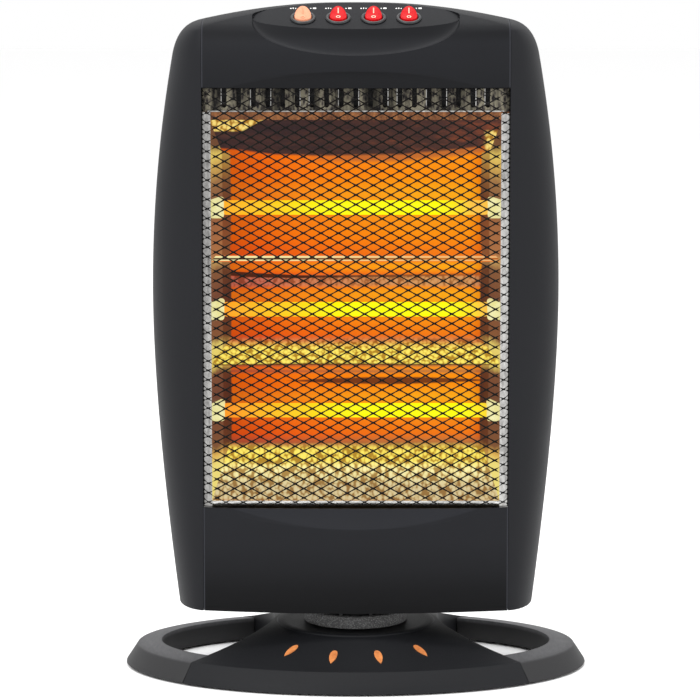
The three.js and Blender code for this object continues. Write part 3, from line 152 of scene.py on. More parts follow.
class FireSizes(bpy.types.PropertyGroup):
    """Tubes, reflector and grille"""
    tube_radius: length("Tube radius", "Quartz tube", 5.5)
    tube_length: length("Tube length", "Quartz tube", 208)
    tube_y: length("Tube place", "Tubes from front to back", -28)
    tube_pitch: length("Tube pitch", "Height between tubes", 77.6)
    middle_tube: length("Middle tube", "Middle tube above the floor", 279.8)
    half_width: length("Reflector half width", "Reflector from the middle to its end", 110)
    front: length("Reflector front", "Front edges of the troughs", -47)
    back: length("Reflector back", "Backs of the troughs", -5)
    step: length("Trough step", "How far the trough's shoulders lie in front of its back", 9)
    half_back: length("Trough half back", "Half height of a trough's flat back", 25)
    slots: IntProperty(name="Vent slots", description="Slots in the vent band", default=19)
    slot_pitch: length("Vent slot pitch", "Distance between slots", 10.95)
    slot_width: length("Vent slot width", "Width of a slot", 3.6)
    grille_front: length("Grille front", "Flat face of the grille", -58)
    diamond_width: length("Diamond width", "Pitch of the grille across", 13.1)
    diamond_height: length("Diamond height", "Pitch of the grille upwards", 7.2)
    strand: length("Strand", "Thickness of a strand of the grille", 1.3)
    edge_bend: length("Edge bend", "Width of the grille's bent edge", 7.5)
    edge_depth: length("Edge depth", "Depth of the grille's bent edge", 7)


class Finishes(bpy.types.PropertyGroup):
    """Colours of the heater"""
    charcoal: colour("Charcoal", "Mouldings of the head", (0.0105, 0.0110, 0.0132))
    base: colour("Stand", "Pedestal and its wall", (0.0085, 0.0090, 0.0108))
    arcs: colour("Side arcs", "Side arcs of the stand", (0.034, 0.034, 0.036))
    neck: colour("Neck", "Textured neck", (0.10, 0.10, 0.10))
    copper: colour("Leaves", "Leaf inserts", (0.66, 0.20, 0.062))
    red: colour("Rocker red", "Three rockers", (0.46, 0.0035, 0.006))
    peach: colour("Rocker peach", "First rocker", (0.66, 0.27, 0.16))


# ---------------------------------------------------------------- shaping helpers


def curve(points, t):
    """Point at t on a Bezier curve of any degree"""
    points = [Vector(p) for p in points]
    while len(points) > 1:
        points = [a.lerp(b, t) for a, b in zip(points, points[1:])]
    return points[0]


def value_at(curves, height):
    """First coordinate of curves in (value, height) at a height"""
    for c in curves:
        if height > c[-1][1]:
            continue
        if height <= c[0][1]:
            return c[0][0]
        low, high = 0.0, 1.0
        for _ in range(32):
            mid = (low + high) / 2
            if curve(c, mid)[1] < height:
                low = mid
            else:
                high = mid
        return curve(c, low)[0]
    return curves[-1][-1][0]


def laid_grid(across, along, place):
    """Grid of cells whose corners are laid out by place(u, v), with u and v from 0 to 1"""
    bm = bmesh.new()
    bmesh.ops.create_grid(bm, x_segments=across, y_segments=along, size=0.5)
    for v in bm.verts:
        v.co = place(v.co.x + 0.5, v.co.y + 0.5)
    return bm


def close_up(bm, distance=1e-6):
    bmesh.ops.remove_doubles(bm, verts=bm.verts, dist=distance)
    bmesh.ops.recalc_face_normals(bm, faces=bm.faces)
    return bm


def cut(bm, point, normal):
    """Takes away what lies beyond a plane"""
    bmesh.ops.bisect_plane(bm, geom=bm.verts[:] + bm.edges[:] + bm.faces[:], dist=1e-7, plane_co=point,
                           plane_no=normal, clear_outer=True)
    return bm


def keep_box(bm, low=(None, None, None), high=(None, None, None)):
    for axis in range(3):
        unit = Vector((axis == 0, axis == 1, axis == 2))
        if low[axis] is not None:
            cut(bm, unit * low[axis], -unit)
        if high[axis] is not None:
            cut(bm, unit * high[axis], unit)
    return bm


def box_mesh(low, high, bevel=0.0, segments=3):
    bm = bmesh.new()
    bmesh.ops.create_cube(bm, size=1)
    low, high = Vector(low), Vector(high)
    bmesh.ops.scale(bm, vec=high - low, verts=bm.verts)
    bmesh.ops.translate(bm, vec=(low + high) / 2, verts=bm.verts)
    if bevel:
        bmesh.ops.bevel(bm, geom=bm.edges[:], offset=bevel, offset_type="OFFSET", segments=segments,
                        profile=0.5,
                        affect="EDGES", material=-1, clamp_overlap=True)
    return bm


def turned(profile, steps=64):
    """Closed ring turned round Z from a profile in (radius, height)"""
    bm = bmesh.new()
    verts = [bm.verts.new((r, 0, z)) for r, z in profile]
    edges = [bm.edges.new((a, b)) for a, b in zip(verts, verts[1:] + verts[:1])]
    bmesh.ops.spin(bm, geom=verts + edges, cent=(0, 0, 0), axis=(0, 0, 1), angle=2 * math.pi, steps=steps,
                   use_merge=True, use_duplicate=False)
    return close_up(bm)


def turned_solid(profile, steps=48):
    """Solid turned round Z whose profile starts and ends on the axis"""
    bm = bmesh.new()
    verts = [bm.verts.new((r, 0, z)) for r, z in profile]
    edges = [bm.edges.new((a, b)) for a, b in zip(verts, verts[1:])]
    bmesh.ops.spin(bm, geom=verts + edges, cent=(0, 0, 0), axis=(0, 0, 1), angle=2 * math.pi, steps=steps,
                   use_merge=True, use_duplicate=False)
    return close_up(bm, 1e-6)


def join_into(bm, other):
    """Adds another bmesh to this one and frees it"""
    mesh = bpy.data.meshes.new("part")
    other.to_mesh(mesh)
    other.free()
    bm.from_mesh(mesh)
    bpy.data.meshes.remove(mesh)
    return bm


def object_from(bm, name):
    mesh = bpy.data.meshes.new(name)
    bm.to_mesh(mesh)
    bm.free()
    obj = bpy.data.objects.new(name, mesh)
    bpy.context.scene.collection.objects.link(obj)
    return obj


def modifier(obj, kind, **settings):
    m = obj.modifiers.new(kind.title(), kind)
    for key, value in settings.items():
        setattr(m, key, value)
    return m


def thicken(obj, thickness, even=True):
    return modifier(obj, "SOLIDIFY", thickness=thickness, offset=-1, use_even_offset=even,
                    use_quality_normals=even)


def soften(obj, width, segments=2, angle=32):
    return modifier(obj, "BEVEL", width=width, segments=segments, limit_method="ANGLE",
                    angle_limit=math.radians(angle), use_clamp_overlap=True, harden_normals=False)


def carve(obj, cutter_bm):
    """Takes the cutter's space away from the piece"""
    cutter = object_from(cutter_bm, "cutter")
    modifier(obj, "BOOLEAN", operation="DIFFERENCE", object=cutter, solver="EXACT")
    bake(obj)
    bpy.data.objects.remove(cutter)


def bake(obj):
    """Makes the modifiers' result the piece's own mesh"""
    graph = bpy.context.evaluated_depsgraph_get()
    graph.update()
    mesh = bpy.data.meshes.new_from_object(obj.evaluated_get(graph))
    obj.modifiers.clear()
    obj.data = mesh


def settle(obj, body, material, slot, nodes=(), sharp=32):
    """Shades the finished piece, gives it its finish and hangs it on its body"""
    if obj.modifiers:
        bake(obj)
    mesh = obj.data
    mesh.shade_smooth()
    mesh.set_sharp_from_angle(angle=math.radians(sharp))
    mesh.materials.clear()
    mesh.materials.append(material)
    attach(obj, body)
    if nodes:
        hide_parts(*nodes)
    return obj


def dress(node, material):
    """Gives a node of the frame its finish"""
    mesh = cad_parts[node].data
    mesh.materials.clear()
    mesh.materials.append(material)


# ---------------------------------------------------------------- material helpers


class Wire:
    """Output of a node, which takes part in sums like a number"""

    def __init__(self, recipe, socket):
        self.recipe, self.socket = recipe, socket

    def __add__(self, other):
        return self.recipe.maths("ADD", self, other)

    def __radd__(self, other):
        return self.recipe.maths("ADD", other, self)

    def __sub__(self, other):
        return self.recipe.maths("SUBTRACT", self, other)

    def __rsub__(self, other):
        return self.recipe.maths("SUBTRACT", other, self)

    def __mul__(self, other):
        return self.recipe.maths("MULTIPLY", self, other)

    def __rmul__(self, other):
        return self.recipe.maths("MULTIPLY", other, self)

    def __abs__(self):
        return self.recipe.maths("ABSOLUTE", self)


class Recipe:
    """Node tree of one material"""

    def __init__(self, name):
        self.material = bpy.data.materials.new(name)
        self.material.use_nodes = True
        self.tree = self.material.node_tree
        self.shader = self.tree.nodes["Principled BSDF"]
        self.coordinates = self.wire(self.add("ShaderNodeTexCoord"), "Object")

    def add(self, kind, **settings):
        node = self.tree.nodes.new(kind)
        for key, value in settings.items():
            setattr(node, key, value)
        return node

    def wire(self, node, output):
        return Wire(self, node.outputs[output])

    def feed(self, socket, value):
        if isinstance(value, Wire):
            self.tree.links.new(value.socket, socket)
        else:
            socket.default_value = (*value, 1.0) if socket.type == "RGBA" and len(value) == 3 else value

    def set(self, **values):
        names = {"colour": "Base Color", "rough": "Roughness", "metal": "Metallic", "normal": "Normal",
                 "specular": "Specular IOR Level", "coat": "Coat Weight", "coat_rough": "Coat Roughness",
                 "glow": "Emission Color", "glow_strength": "Emission Strength", "anisotropy": "Anisotropic"}
        for key, value in values.items():
            self.feed(self.shader.inputs[names[key]], value)
        return self

    def noise(self, scale, detail=3.0, rough=0.5, stretch=None):
        node = self.add("ShaderNodeTexNoise")
        self.feed(node.inputs["Vector"], self.stretched(stretch))
        node.inputs["Scale"].default_value = scale
        node.inputs["Detail"].default_value = detail
        node.inputs["Roughness"].default_value = rough
        return self.wire(node, "Fac")

    def stretched(self, stretch):
        if stretch is None:
            return self.coordinates
        node = self.add("ShaderNodeMapping")
        self.feed(node.inputs["Vector"], self.coordinates)
        node.inputs["Scale"].default_value = stretch
        return self.wire(node, "Vector")

    def cells(self, scale, stretch=None, feature="F1", randomness=1.0):
        node = self.add("ShaderNodeTexVoronoi", feature=feature)
        self.feed(node.inputs["Vector"], self.stretched(stretch))
        node.inputs["Scale"].default_value = scale
        node.inputs["Randomness"].default_value = randomness
        return self.wire(node, "Distance")

    def ramp(self, factor, stops, smooth="LINEAR"):
        node = self.add("ShaderNodeValToRGB")
        self.feed(node.inputs["Fac"], factor)
        ramp = node.color_ramp
        ramp.interpolation = smooth
        while len(ramp.elements) < len(stops):
            ramp.elements.new(0.5)
        for element, (place, shade) in zip(ramp.elements, stops):
            element.position = place
            shade = (shade,) * 3 if isinstance(shade, (int, float)) else shade
            element.color = (*shade, 1.0)
        return self.wire(node, "Color")

    def ladder(self, height, low, high, rungs):
        """Shades at heights in millimetres, between a low and a high end in metres"""
        stops = [((mm / 1000 - low) / (high - low), shade) for mm, shade in rungs]
        return self.ramp(self.span(height, low, high), stops)

    def maths(self, operation, a, b=0.0, c=0.0, clamp=False):
        node = self.add("ShaderNodeMath", operation=operation, use_clamp=clamp)
        for socket, value in zip(node.inputs, (a, b, c)):
            self.feed(socket, value)
        return self.wire(node, "Value")

    def blend(self, factor, a, b, kind="MIX"):
        node = self.add("ShaderNodeMix", data_type="RGBA", blend_type=kind)
        self.feed(node.inputs["Factor"], factor)
        for socket, value in zip((s for s in node.inputs if s.type == "RGBA"), (a, b)):
            self.feed(socket, value)
        return Wire(self, next(s for s in node.outputs if s.type == "RGBA"))

    def tint(self, a, b):
        """Product of two colours"""
        return self.blend(1.0, a, b, "MULTIPLY")

    def axis(self, name):
        node = self.add("ShaderNodeSeparateXYZ")
        self.feed(node.inputs["Vector"], self.coordinates)
        return self.wire(node, name)

    def span(self, value, low, high, to_low=0.0, to_high=1.0, smooth=False):
        node = self.add("ShaderNodeMapRange", clamp=True,
                        interpolation_type="SMOOTHSTEP" if smooth else "LINEAR")
        self.feed(node.inputs["Value"], value)
        for key, number in (("From Min", low), ("From Max", high), ("To Min", to_low), ("To Max", to_high)):
            node.inputs[key].default_value = number
        return self.wire(node, "Result")

    def bump(self, height, strength=0.3, distance=0.0005, under=None):
        node = self.add("ShaderNodeBump")
        self.feed(node.inputs["Height"], height)
        node.inputs["Strength"].default_value = strength
        node.inputs["Distance"].default_value = distance
        if under is not None:
            self.feed(node.inputs["Normal"], under)
        return self.wire(node, "Normal")


def screen(red, green, blue):
    """Linear colour from the usual 0 to 255 screen values"""
    shares = (value / 255 for value in (red, green, blue))
    return tuple(((v + 0.055) / 1.055) ** 2.4 if v > 10 / 255 else v / 12.92 for v in shares)


def scaled(rgb, factor):
    return tuple(min(c * factor, 1.0) for c in rgb)


def moulded(name, rgb, rough=0.5, grain=900.0, depth=0.25, mottling=0.15, specular=0.35):
    """Moulded plastic: fine spark-eroded grain, faint mottling and uneven gloss"""
    r = Recipe(name)
    broad = r.noise(9.0, 4.0, 0.6)
    fine = r.noise(grain, 2.0, 0.6)
    pits = r.cells(grain * 0.8)
    shade = r.ramp(broad, [(0.3, scaled(rgb, 1 - mottling)), (0.7, scaled(rgb, 1 + mottling))])
    gloss = r.span(broad + fine, 0.6, 1.4, rough - 0.06, rough + 0.08)
    normal = r.bump(pits, depth * 0.6, 0.0002, r.bump(fine, depth, 0.0002))
    return r.set(colour=shade, rough=gloss, normal=normal, specular=specular).material


def front_finish(f):
    """Front mouldings: as the side covers, with painted shading by height and in the hollows, and a broken
    painted highlight along the edge at the seam
    """
    r = Recipe("front moulding")
    z = r.axis("Z")
    broad = r.noise(9.0, 4.0, 0.6)
    fine = r.noise(1100.0, 2.0, 0.6)
    pits = r.cells(880.0)
    body = r.ramp(broad, [(0.3, scaled(f.charcoal, 0.94)), (0.7, scaled(f.charcoal, 1.06))])
    # painted light and shade by height: far darker towards the underside, with lighter and darker bands on
    # the crown
    shade = r.ladder(z, HEAD_LOW, HEAD_HIGH, FRONT_PAINTED_SHADING)
    side = abs(r.axis("X"))
    square = side * side
    # painted light in the hollow below the grille, which faces up, and painted shade in the one above it,
    # which faces down
    bow = r.span(z - (0.1162 + square * 1.72), 0.0, 0.0012)
    bow = bow * (1.0 - r.span(z, 0.1325, 0.1335))
    arch = r.span(0.4642 - square * 1.4 - z, 0.0, 0.0012)
    arch = arch * r.span(z, 0.440, 0.441)
    shade = r.blend(bow, shade, r.tint(shade, (1.42, 1.42, 1.42)))
    shade = r.blend(arch, shade, r.tint(shade, (0.72, 0.72, 0.72)))
    # a broken painted highlight along the edge just inside the seam
    seam_highlight = r.span(side, 0.1142, 0.1149, smooth=True) * r.span(fine, 0.25, 0.5, 0.5, 1.0)
    colour = r.blend(seam_highlight, r.tint(body, shade), scaled(f.charcoal, 3.2))
    gloss = r.span(broad + fine, 0.6, 1.4, 0.49, 0.63)
    return r.set(colour=colour, rough=gloss, specular=0.12,
                 normal=r.bump(pits, 0.08, 0.0002, r.bump(fine, 0.14, 0.0002))).material


def metal(name, rgb, rough=0.3, brushed=(1.0, 1.0, 60.0), scratch=0.15, metallic=1.0):
    """Drawn or brushed metal with streaks"""
    r = Recipe(name)
    streaks = r.noise(60.0, 4.0, 0.7, stretch=brushed)
    cloud = r.noise(14.0, 3.0, 0.6)
    shade = r.ramp(cloud, [(0.3, scaled(rgb, 0.88)), (0.7, scaled(rgb, 1.08))])
    gloss = r.span(streaks, 0.3, 0.7, rough - 0.07, rough + 0.1)
    return r.set(colour=shade, rough=gloss, metal=metallic, normal=r.bump(streaks, scratch, 0.0002)).material


# ---------------------------------------------------------------- the heater's own finishes


# Painted light and shade by height in millimetres, for the part of the head between a low and a high end in
# metres
HEAD_LOW, HEAD_HIGH = 0.052, 0.512
FRONT_PAINTED_SHADING = ((55, 0.28), (70, 0.45), (85, 0.82), (105, 1.10), (131, 1.16), (133, 1.0), (448, 0.80),
                (462, 0.95), (470, 1.05), (484, 1.10), (490, 0.70), (497, 0.75), (505, 0.95))
FIRE_LOW, FIRE_HIGH = 0.132, 0.432
# tones of the reflector's painted glow; the darkest brown is painted shadow
ORANGE, AMBER, EMBER = screen(255, 128, 10), screen(255, 150, 14), screen(244, 104, 16)
YELLOW, STRAW, CLAY = screen(240, 222, 100), screen(240, 232, 168), screen(204, 188, 146)
DIM_ORANGE, SHADOW_BROWN, BEIGE = screen(180, 100, 46), screen(70, 34, 24), screen(206, 130, 72)
# the reflector's painted light and shade by height
REFLECTOR_PAINTED_GLOW = (
    # lower wing and its bend
    (133, DIM_ORANGE), (137, CLAY), (146, CLAY), (157, STRAW), (163, YELLOW), (171, YELLOW), (175, DIM_ORANGE),
    (181, EMBER),
    # back of the lower trough
    (196, ORANGE), (209, AMBER), (218, ORANGE), (228, ORANGE), (232, DIM_ORANGE), (236, ORANGE), (238.8, DIM_ORANGE),
    # dimpled shelf and the back of the middle trough
    (239.8, SHADOW_BROWN), (241, YELLOW), (250, YELLOW), (254, BEIGE), (257, EMBER), (268, ORANGE), (289, AMBER),
    (293, ORANGE), (295.5, BEIGE), (302, BEIGE), (304.5, EMBER), (313, AMBER),
    # back of the upper trough
    (323, EMBER), (334, ORANGE), (366, AMBER), (381, ORANGE))
# painted light and shade of the end walls by height
END_WALL_PAINTED_GLOW = tuple((mm, screen(*shade)) for mm, shade in (
    (162, (232, 214, 120)), (170, (214, 170, 84)), (176, (120, 80, 54)), (214, (96, 62, 50)),
    (232, (118, 76, 54)), (238, (214, 190, 96)), (252, (226, 206, 110)), (258, (126, 84, 56)),
    (290, (104, 66, 52)), (310, (128, 86, 58)), (318, (190, 150, 90)), (322, (168, 112, 70)),
    (345, (150, 98, 64)), (362, (120, 80, 60)), (378, (150, 112, 72)), (388, (196, 160, 84)),
    (398, (222, 196, 100)), (406, (110, 74, 52))))


def finishes(f):
    """All finishes by name"""
    m = {}
    m["charcoal"] = moulded("charcoal moulding", f.charcoal, 0.55, 1100, 0.14, 0.06, 0.16)
    m["front"] = front_finish(f)
    m["stand"] = moulded("stand moulding", f.base, 0.56, 900, 0.16, 0.08, 0.22)
    m["arc"] = side_arc_finish(f)
    m["neck"] = neck_finish(f)
    m["dark"] = moulded("plain dark moulding", (0.012, 0.012, 0.013), 0.6, 700, 0.2)
    m["rubber"] = moulded("soft rubber", (0.014, 0.014, 0.014), 0.85, 500, 0.35, 0.2, 0.25)
    m["copper"] = leaf_finish(f)
    m["bezel"] = moulded("switch bezel", (0.022, 0.023, 0.025), 0.33, 1500, 0.06, 0.06, 0.45)
    m["red"] = rocker_finish("red rocker", f.red)
    m["peach"] = rocker_finish("peach rocker", f.peach)
    m["mark"] = moulded("pale marking", (0.80, 0.55, 0.42), 0.6, 1800, 0.05, 0.05)
    m["print"] = moulded("white print", (0.82, 0.82, 0.80), 0.6, 1800, 0.05, 0.05)
    m["grille"] = grille_finish()
    m["silver"] = metal("bright folded sheet", (0.78, 0.78, 0.76), 0.28, (1, 1, 30), 0.08)
    m["bracket"] = bracket_finish()
    m["vent"] = vent_finish()
    m["steel"] = metal("drawn steel", (0.56, 0.56, 0.57), 0.32, (40, 40, 1), 0.12)
    m["brass"] = metal("plain brass", (0.70, 0.50, 0.20), 0.3, (1, 1, 40), 0.08)
    m["nylon"] = moulded("natural nylon", (0.62, 0.58, 0.48), 0.5, 600, 0.1, 0.08)
    m["reflector"] = reflector_finish()
    m["cheek"] = cheek_finish()
    m["tube"] = tube_finish()
    m["ceramic"] = ceramic_finish()
    return m


def side_arc_finish(f):
    """Grey, finely ribbed plastic of the side arcs, with painted light on the flat top and painted shade on
    the walls
    """
    r = Recipe("side arc moulding")
    broad = r.noise(7.0, 4.0, 0.6)
    ribs = r.noise(420.0, 2.0, 0.6, stretch=(1.0, 0.25, 1.0))
    fine = r.noise(1500.0, 2.0, 0.7)
    # painted light and shade: the flat top is a lit, much lighter copy of the same grey, and the walls are a
    # shaded, darker one
    top = r.span(r.axis("Z"), 0.0145, 0.0172, 0.0, 1.0, smooth=True)
    body = r.ramp(broad, [(0.3, scaled(f.arcs, 0.50)), (0.7, scaled(f.arcs, 0.66))])
    lit_lid = r.ramp(ribs * 0.5 + fine * 0.5,
                 [(0.35, scaled(f.arcs, 1.75)), (0.65, scaled(f.arcs, 2.7))])
    normal = r.bump(fine, 0.22, 0.0002, r.bump(ribs, 0.2, 0.0003))
    return r.set(colour=r.blend(top, body, lit_lid), rough=r.span(broad, 0.3, 0.7, 0.5, 0.66), normal=normal,
                 specular=0.35).material


def neck_finish(f):
    """Coarse speckled plastic of the neck"""
    r = Recipe("textured neck moulding")
    grit = r.cells(900.0)
    speck = r.ramp(grit, [(0.15, scaled(f.neck, 2.9)), (0.55, scaled(f.neck, 1.1))])
    fine = r.noise(1400.0, 2.0, 0.6)
    normal = r.bump(grit, 0.7, 0.0005, r.bump(fine, 0.2, 0.0002))
    return r.set(colour=speck, rough=r.span(fine, 0.3, 0.7, 0.6, 0.8), normal=normal, specular=0.35).material


def leaf_finish(f):
    r = Recipe("copper leaf")
    cloud = r.noise(160.0, 4.0, 0.6)
    grain = r.noise(1200.0, 3.0, 0.6)
    shade = r.ramp(cloud, [(0.25, scaled(f.copper, 0.9)), (0.75, scaled(f.copper, 1.9))])
    return r.set(colour=shade, rough=r.span(grain, 0.3, 0.7, 0.28, 0.42), metal=0.1,
                 normal=r.bump(grain, 0.12, 0.0002), coat=0.2, coat_rough=0.2).material


def rocker_finish(name, rgb):
    r = Recipe(name)
    cloud = r.noise(220.0, 3.0, 0.5)
    fine = r.noise(1800.0, 2.0, 0.5)
    shade = r.ramp(cloud, [(0.3, scaled(rgb, 0.92)), (0.7, scaled(rgb, 1.1))])
    # the faint glow in the rocker's own colour is painted light
    return r.set(colour=shade, rough=r.span(fine, 0.3, 0.7, 0.34, 0.46), normal=r.bump(fine, 0.05, 0.0002),
                 specular=0.16, glow=scaled(rgb, 0.9), glow_strength=0.35).material


def grille_finish():
    """Black enamel over expanded steel"""
    r = Recipe("black enamel on steel")
    cloud = r.noise(80.0, 3.0, 0.6)
    fine = r.noise(900.0, 3.0, 0.6)
    shade = r.ramp(cloud, [(0.3, (0.0020, 0.0020, 0.0020)), (0.7, (0.0055, 0.0052, 0.005))])
    return r.set(colour=shade, rough=r.span(fine, 0.3, 0.7, 0.38, 0.55), normal=r.bump(fine, 0.15, 0.0003),
                 specular=0.14).material


def bracket_finish():
    """Bright folded sheet beside the troughs, its brightness a painted glow of the tubes' light"""
    r = Recipe("bright end bracket")
    streaks = r.noise(70.0, 4.0, 0.7, stretch=(1, 1, 0.06))
    patch = r.noise(420.0, 3.0, 0.6, stretch=(1, 1, 0.4))
    shade = r.ramp(streaks * 0.5 + patch * 0.5,
                   [(0.34, screen(132, 130, 128)), (0.62, screen(226, 225, 222))])
    # painted light: the glow is stronger on the right bracket and low down
    right = r.span(r.axis("X"), -0.01, 0.01, 0.62, 1.0)
    foot = r.span(r.axis("Z"), 0.20, 0.40, 1.25, 0.95)
    return r.set(colour=r.tint(shade, (0.3, 0.3, 0.3)), rough=r.span(streaks, 0.3, 0.7, 0.34, 0.5),
                 metal=0.2, normal=r.bump(streaks, 0.12, 0.0003), glow=shade,
                 glow_strength=right * foot * 0.62).material


def vent_finish():
    """Dull galvanised sheet of the vent band, blotched beige and grey, with a copper-coloured foot"""
    r = Recipe("galvanised vent band")
    spangle = r.cells(420.0, stretch=(1.0, 1.0, 0.45))
    cloud = r.noise(190.0, 4.0, 0.7, stretch=(1.0, 1.0, 0.5))
    value = spangle * 0.55 + cloud * 0.75
    shade = r.ramp(value, [(0.44, screen(26, 24, 26)), (0.56, screen(88, 82, 76)),
                           (0.70, screen(140, 134, 116))])
    # orange-brown along the foot of the band, below the fold
    foot = 1.0 - r.span(r.axis("Z"), 0.4315, 0.4322, smooth=True)
    orange_foot = r.ramp(cloud, [(0.35, screen(96, 58, 38)), (0.7, screen(176, 116, 70))])
    streak = r.ramp(r.noise(95.0, 3.0, 0.7, stretch=(1.0, 1.0, 0.03)), [(0.38, 0.16), (0.58, 1.0)])
    shade = r.tint(shade, streak)
    return r.set(colour=r.blend(foot, shade, orange_foot), rough=r.span(cloud, 0.3, 0.7, 0.5, 0.7), metal=0.1,
                 normal=r.bump(value, 0.3, 0.0004), specular=0.2).material


def end_wall_shade(r):
    """Painted light and shade of the end walls: yellow at the head, dark beside the tubes, tan between them,
    redder on the inner strip
    """
    z, x = r.axis("Z"), r.axis("X")
    side = abs(x)
    cloud = r.noise(60.0, 4.0, 0.65)
    tone = z + (cloud - 0.5) * 0.012
    outer = r.ladder(tone, FIRE_LOW, FIRE_HIGH, END_WALL_PAINTED_GLOW)
    inner = r.tint(outer, (0.62, 0.50, 0.48))
    split = r.span(side, 0.1005, 0.1015, smooth=True)
    return r.blend(split, inner, outer)


def reflector_finish():
    """Dimpled aluminium with the light of the tubes nearby painted into its glow: orange backs, yellow
    dimpled wings and a dark upper wing
    """
    r = Recipe("lit dimpled reflector")
    z, x = r.axis("Z"), r.axis("X")
    side = abs(x)
    wobble = r.noise(22.0, 3.0, 0.55, stretch=(0.3, 1.0, 1.0)) - 0.5
    height = z + wobble * 0.004

    bands = r.ladder(height, FIRE_LOW, FIRE_HIGH, REFLECTOR_PAINTED_GLOW)
    # painted highlights and shade of the dimples break up the wings, and hardly show on the backs
    dimple = r.cells(330.0, stretch=(1.0, 0.6, 0.62))
    crinkle = r.noise(300.0, 3.0, 0.7)
    sparkle = r.ramp(dimple * 0.8 + crinkle * 0.4,
                     [(0.42, (1.12, 1.12, 1.1)), (0.60, (0.98, 0.90, 0.74)), (0.76, (0.46, 0.28, 0.12))])
    wing = 1.0 - r.span(height, 0.171, 0.1765, smooth=True)
    shelf = r.span(height, 0.238, 0.2405, smooth=True) * (1.0 - r.span(height, 0.253, 0.257, smooth=True))
    strip = r.span(height, 0.293, 0.296, smooth=True) * (1.0 - r.span(height, 0.3025, 0.304, smooth=True))
    rough = wing + shelf + strip * 0.8
    lit = r.blend(r.maths("ADD", rough * 0.9, 0.04, clamp=True), bands,
                  r.tint(bands, sparkle))
    # painted glow: the backs burn redder to the left and paler to the right
    across = r.ramp(r.span(x, -0.1, 0.1), [(0.03, (0.66, 0.46, 1.1)), (0.14, (0.78, 0.56, 1.3)),
                                           (0.30, (0.90, 0.82, 1.4)), (0.5, (0.92, 1.04, 1.5)),
                                           (0.75, (0.94, 1.26, 1.7)), (0.93, (0.94, 1.28, 1.8)),
                                           (0.975, (0.80, 0.86, 1.3))])
    back = 1.0 - r.maths("MAXIMUM", wing, shelf)
    lit = r.blend(back, lit, r.tint(lit, across))
    # painted shadows under the dividers: a line that sinks from the left, and a long crescent to the right
    sink = r.ramp(r.span(x, -0.1, 0.1), [(0.0, 0.95), (0.12, 0.50), (0.28, 0.16),
                                         (0.5, 0.20), (0.78, 0.40), (1.0, 0.62)])
    slant = height - (0.3015 + sink * 0.005)
    thin = r.span(x, -0.1, -0.03, 0.0024, 0.0009)
    line = 1.0 - r.span(abs(slant) - thin, -0.0004, 0.0008, smooth=True)
    fade = r.span(x, -0.04, 0.09, 1.0, 0.4)
    lit = r.blend(line * fade, lit, SHADOW_BROWN)
    place = x - 0.026
    bow = 0.0034 - place * place * 0.5
    off = abs(height - 0.2224)
    crescent = (1.0 - r.span(off - bow, -0.0012, 0.0004, smooth=True)) * r.span(bow, 0.0, 0.0006)
    lit = r.blend(crescent * 0.92, lit, screen(92, 40, 26))
    # divider: a thin painted highlight with a painted shadow line in it, fading to the right
    lip = r.ramp(r.span(z, 0.3175, 0.3225),
                 [(0.2, EMBER), (0.28, STRAW), (0.38, STRAW), (0.46, SHADOW_BROWN), (0.58, SHADOW_BROWN), (0.66, STRAW),
                  (0.82, STRAW), (0.9, EMBER)])
    on_lip = r.span(z, 0.3180, 0.3183) * (1.0 - r.span(z, 0.3219, 0.3222))
    lit = r.blend(on_lip * r.span(x, -0.06, 0.06, 1.0, 0.45), lit, lip)
    # painted shade: the upper wing stays dark; its lower edge sinks from the left and climbs to the right
    arch = r.ramp(r.span(x, -0.11, 0.11), [(0.0, 0.62), (0.09, 0.55), (0.22, 0.36),
                                           (0.36, 0.30), (0.66, 0.36), (0.86, 0.58),
                                           (0.95, 0.72)])
    edge = 0.39 + arch * 0.02
    over = height - edge
    cloud = r.noise(70.0, 5.0, 0.7, stretch=(0.4, 1, 1))
    shadow_cloud = r.ramp(cloud + x * 1.2,
                        [(0.35, screen(52, 38, 40)), (0.6, screen(74, 48, 44)), (0.78, screen(124, 66, 46))])
    dusk = r.span(over, -0.0075, -0.0025, smooth=True) * r.span(x, -0.05, 0.0, 0.0, 0.8)
    lit = r.blend(dusk, lit, screen(170, 92, 50))
    lit = r.blend(r.span(over, -0.0012, 0.0014, smooth=True), lit, shadow_cloud)
    # painted light: yellow lit patches near the upper corners of the wing
    left = r.span(x - z * 1.8, -0.8331, -0.8371) * r.span(z, 0.4155, 0.4170, smooth=True)
    right = r.span(x, 0.0955, 0.0995, smooth=True) * (1.0 - r.span(z, 0.4155, 0.418, smooth=True))
    patch = r.maths("MAXIMUM", left, right) * r.span(z, 0.385, 0.39)
    lit = r.blend(patch, lit, r.tint(screen(232, 206, 118), sparkle))
    # the slanted ends of the sheet take the end walls' painted shading
    ends = r.span(side, 0.0945, 0.0955) * (1.0 - r.span(z, 0.398, 0.400))
    ends = ends * back
    lit = r.blend(ends * (1.0 - on_lip), lit, end_wall_shade(r))
    normal = r.bump(dimple, 0.5, 0.0012, r.bump(crinkle, 0.15, 0.0004))
    # the painted light and shade is given as glow over a dark base colour
    return r.set(colour=r.tint(lit, (0.08, 0.08, 0.08)), rough=0.5, metal=0.0, normal=normal,
                 specular=0.1, glow=lit, glow_strength=0.98).material


def cheek_finish():
    """Slanted end walls of the troughs, their painted light and shade given as glow"""
    r = Recipe("shaded end wall")
    dimple = r.cells(260.0)
    lit = end_wall_shade(r)
    return r.set(colour=r.tint(lit, (0.1, 0.1, 0.1)), rough=0.5, metal=0.0,
                 normal=r.bump(dimple, 0.3, 0.0008), specular=0.1, glow=lit, glow_strength=0.95).material


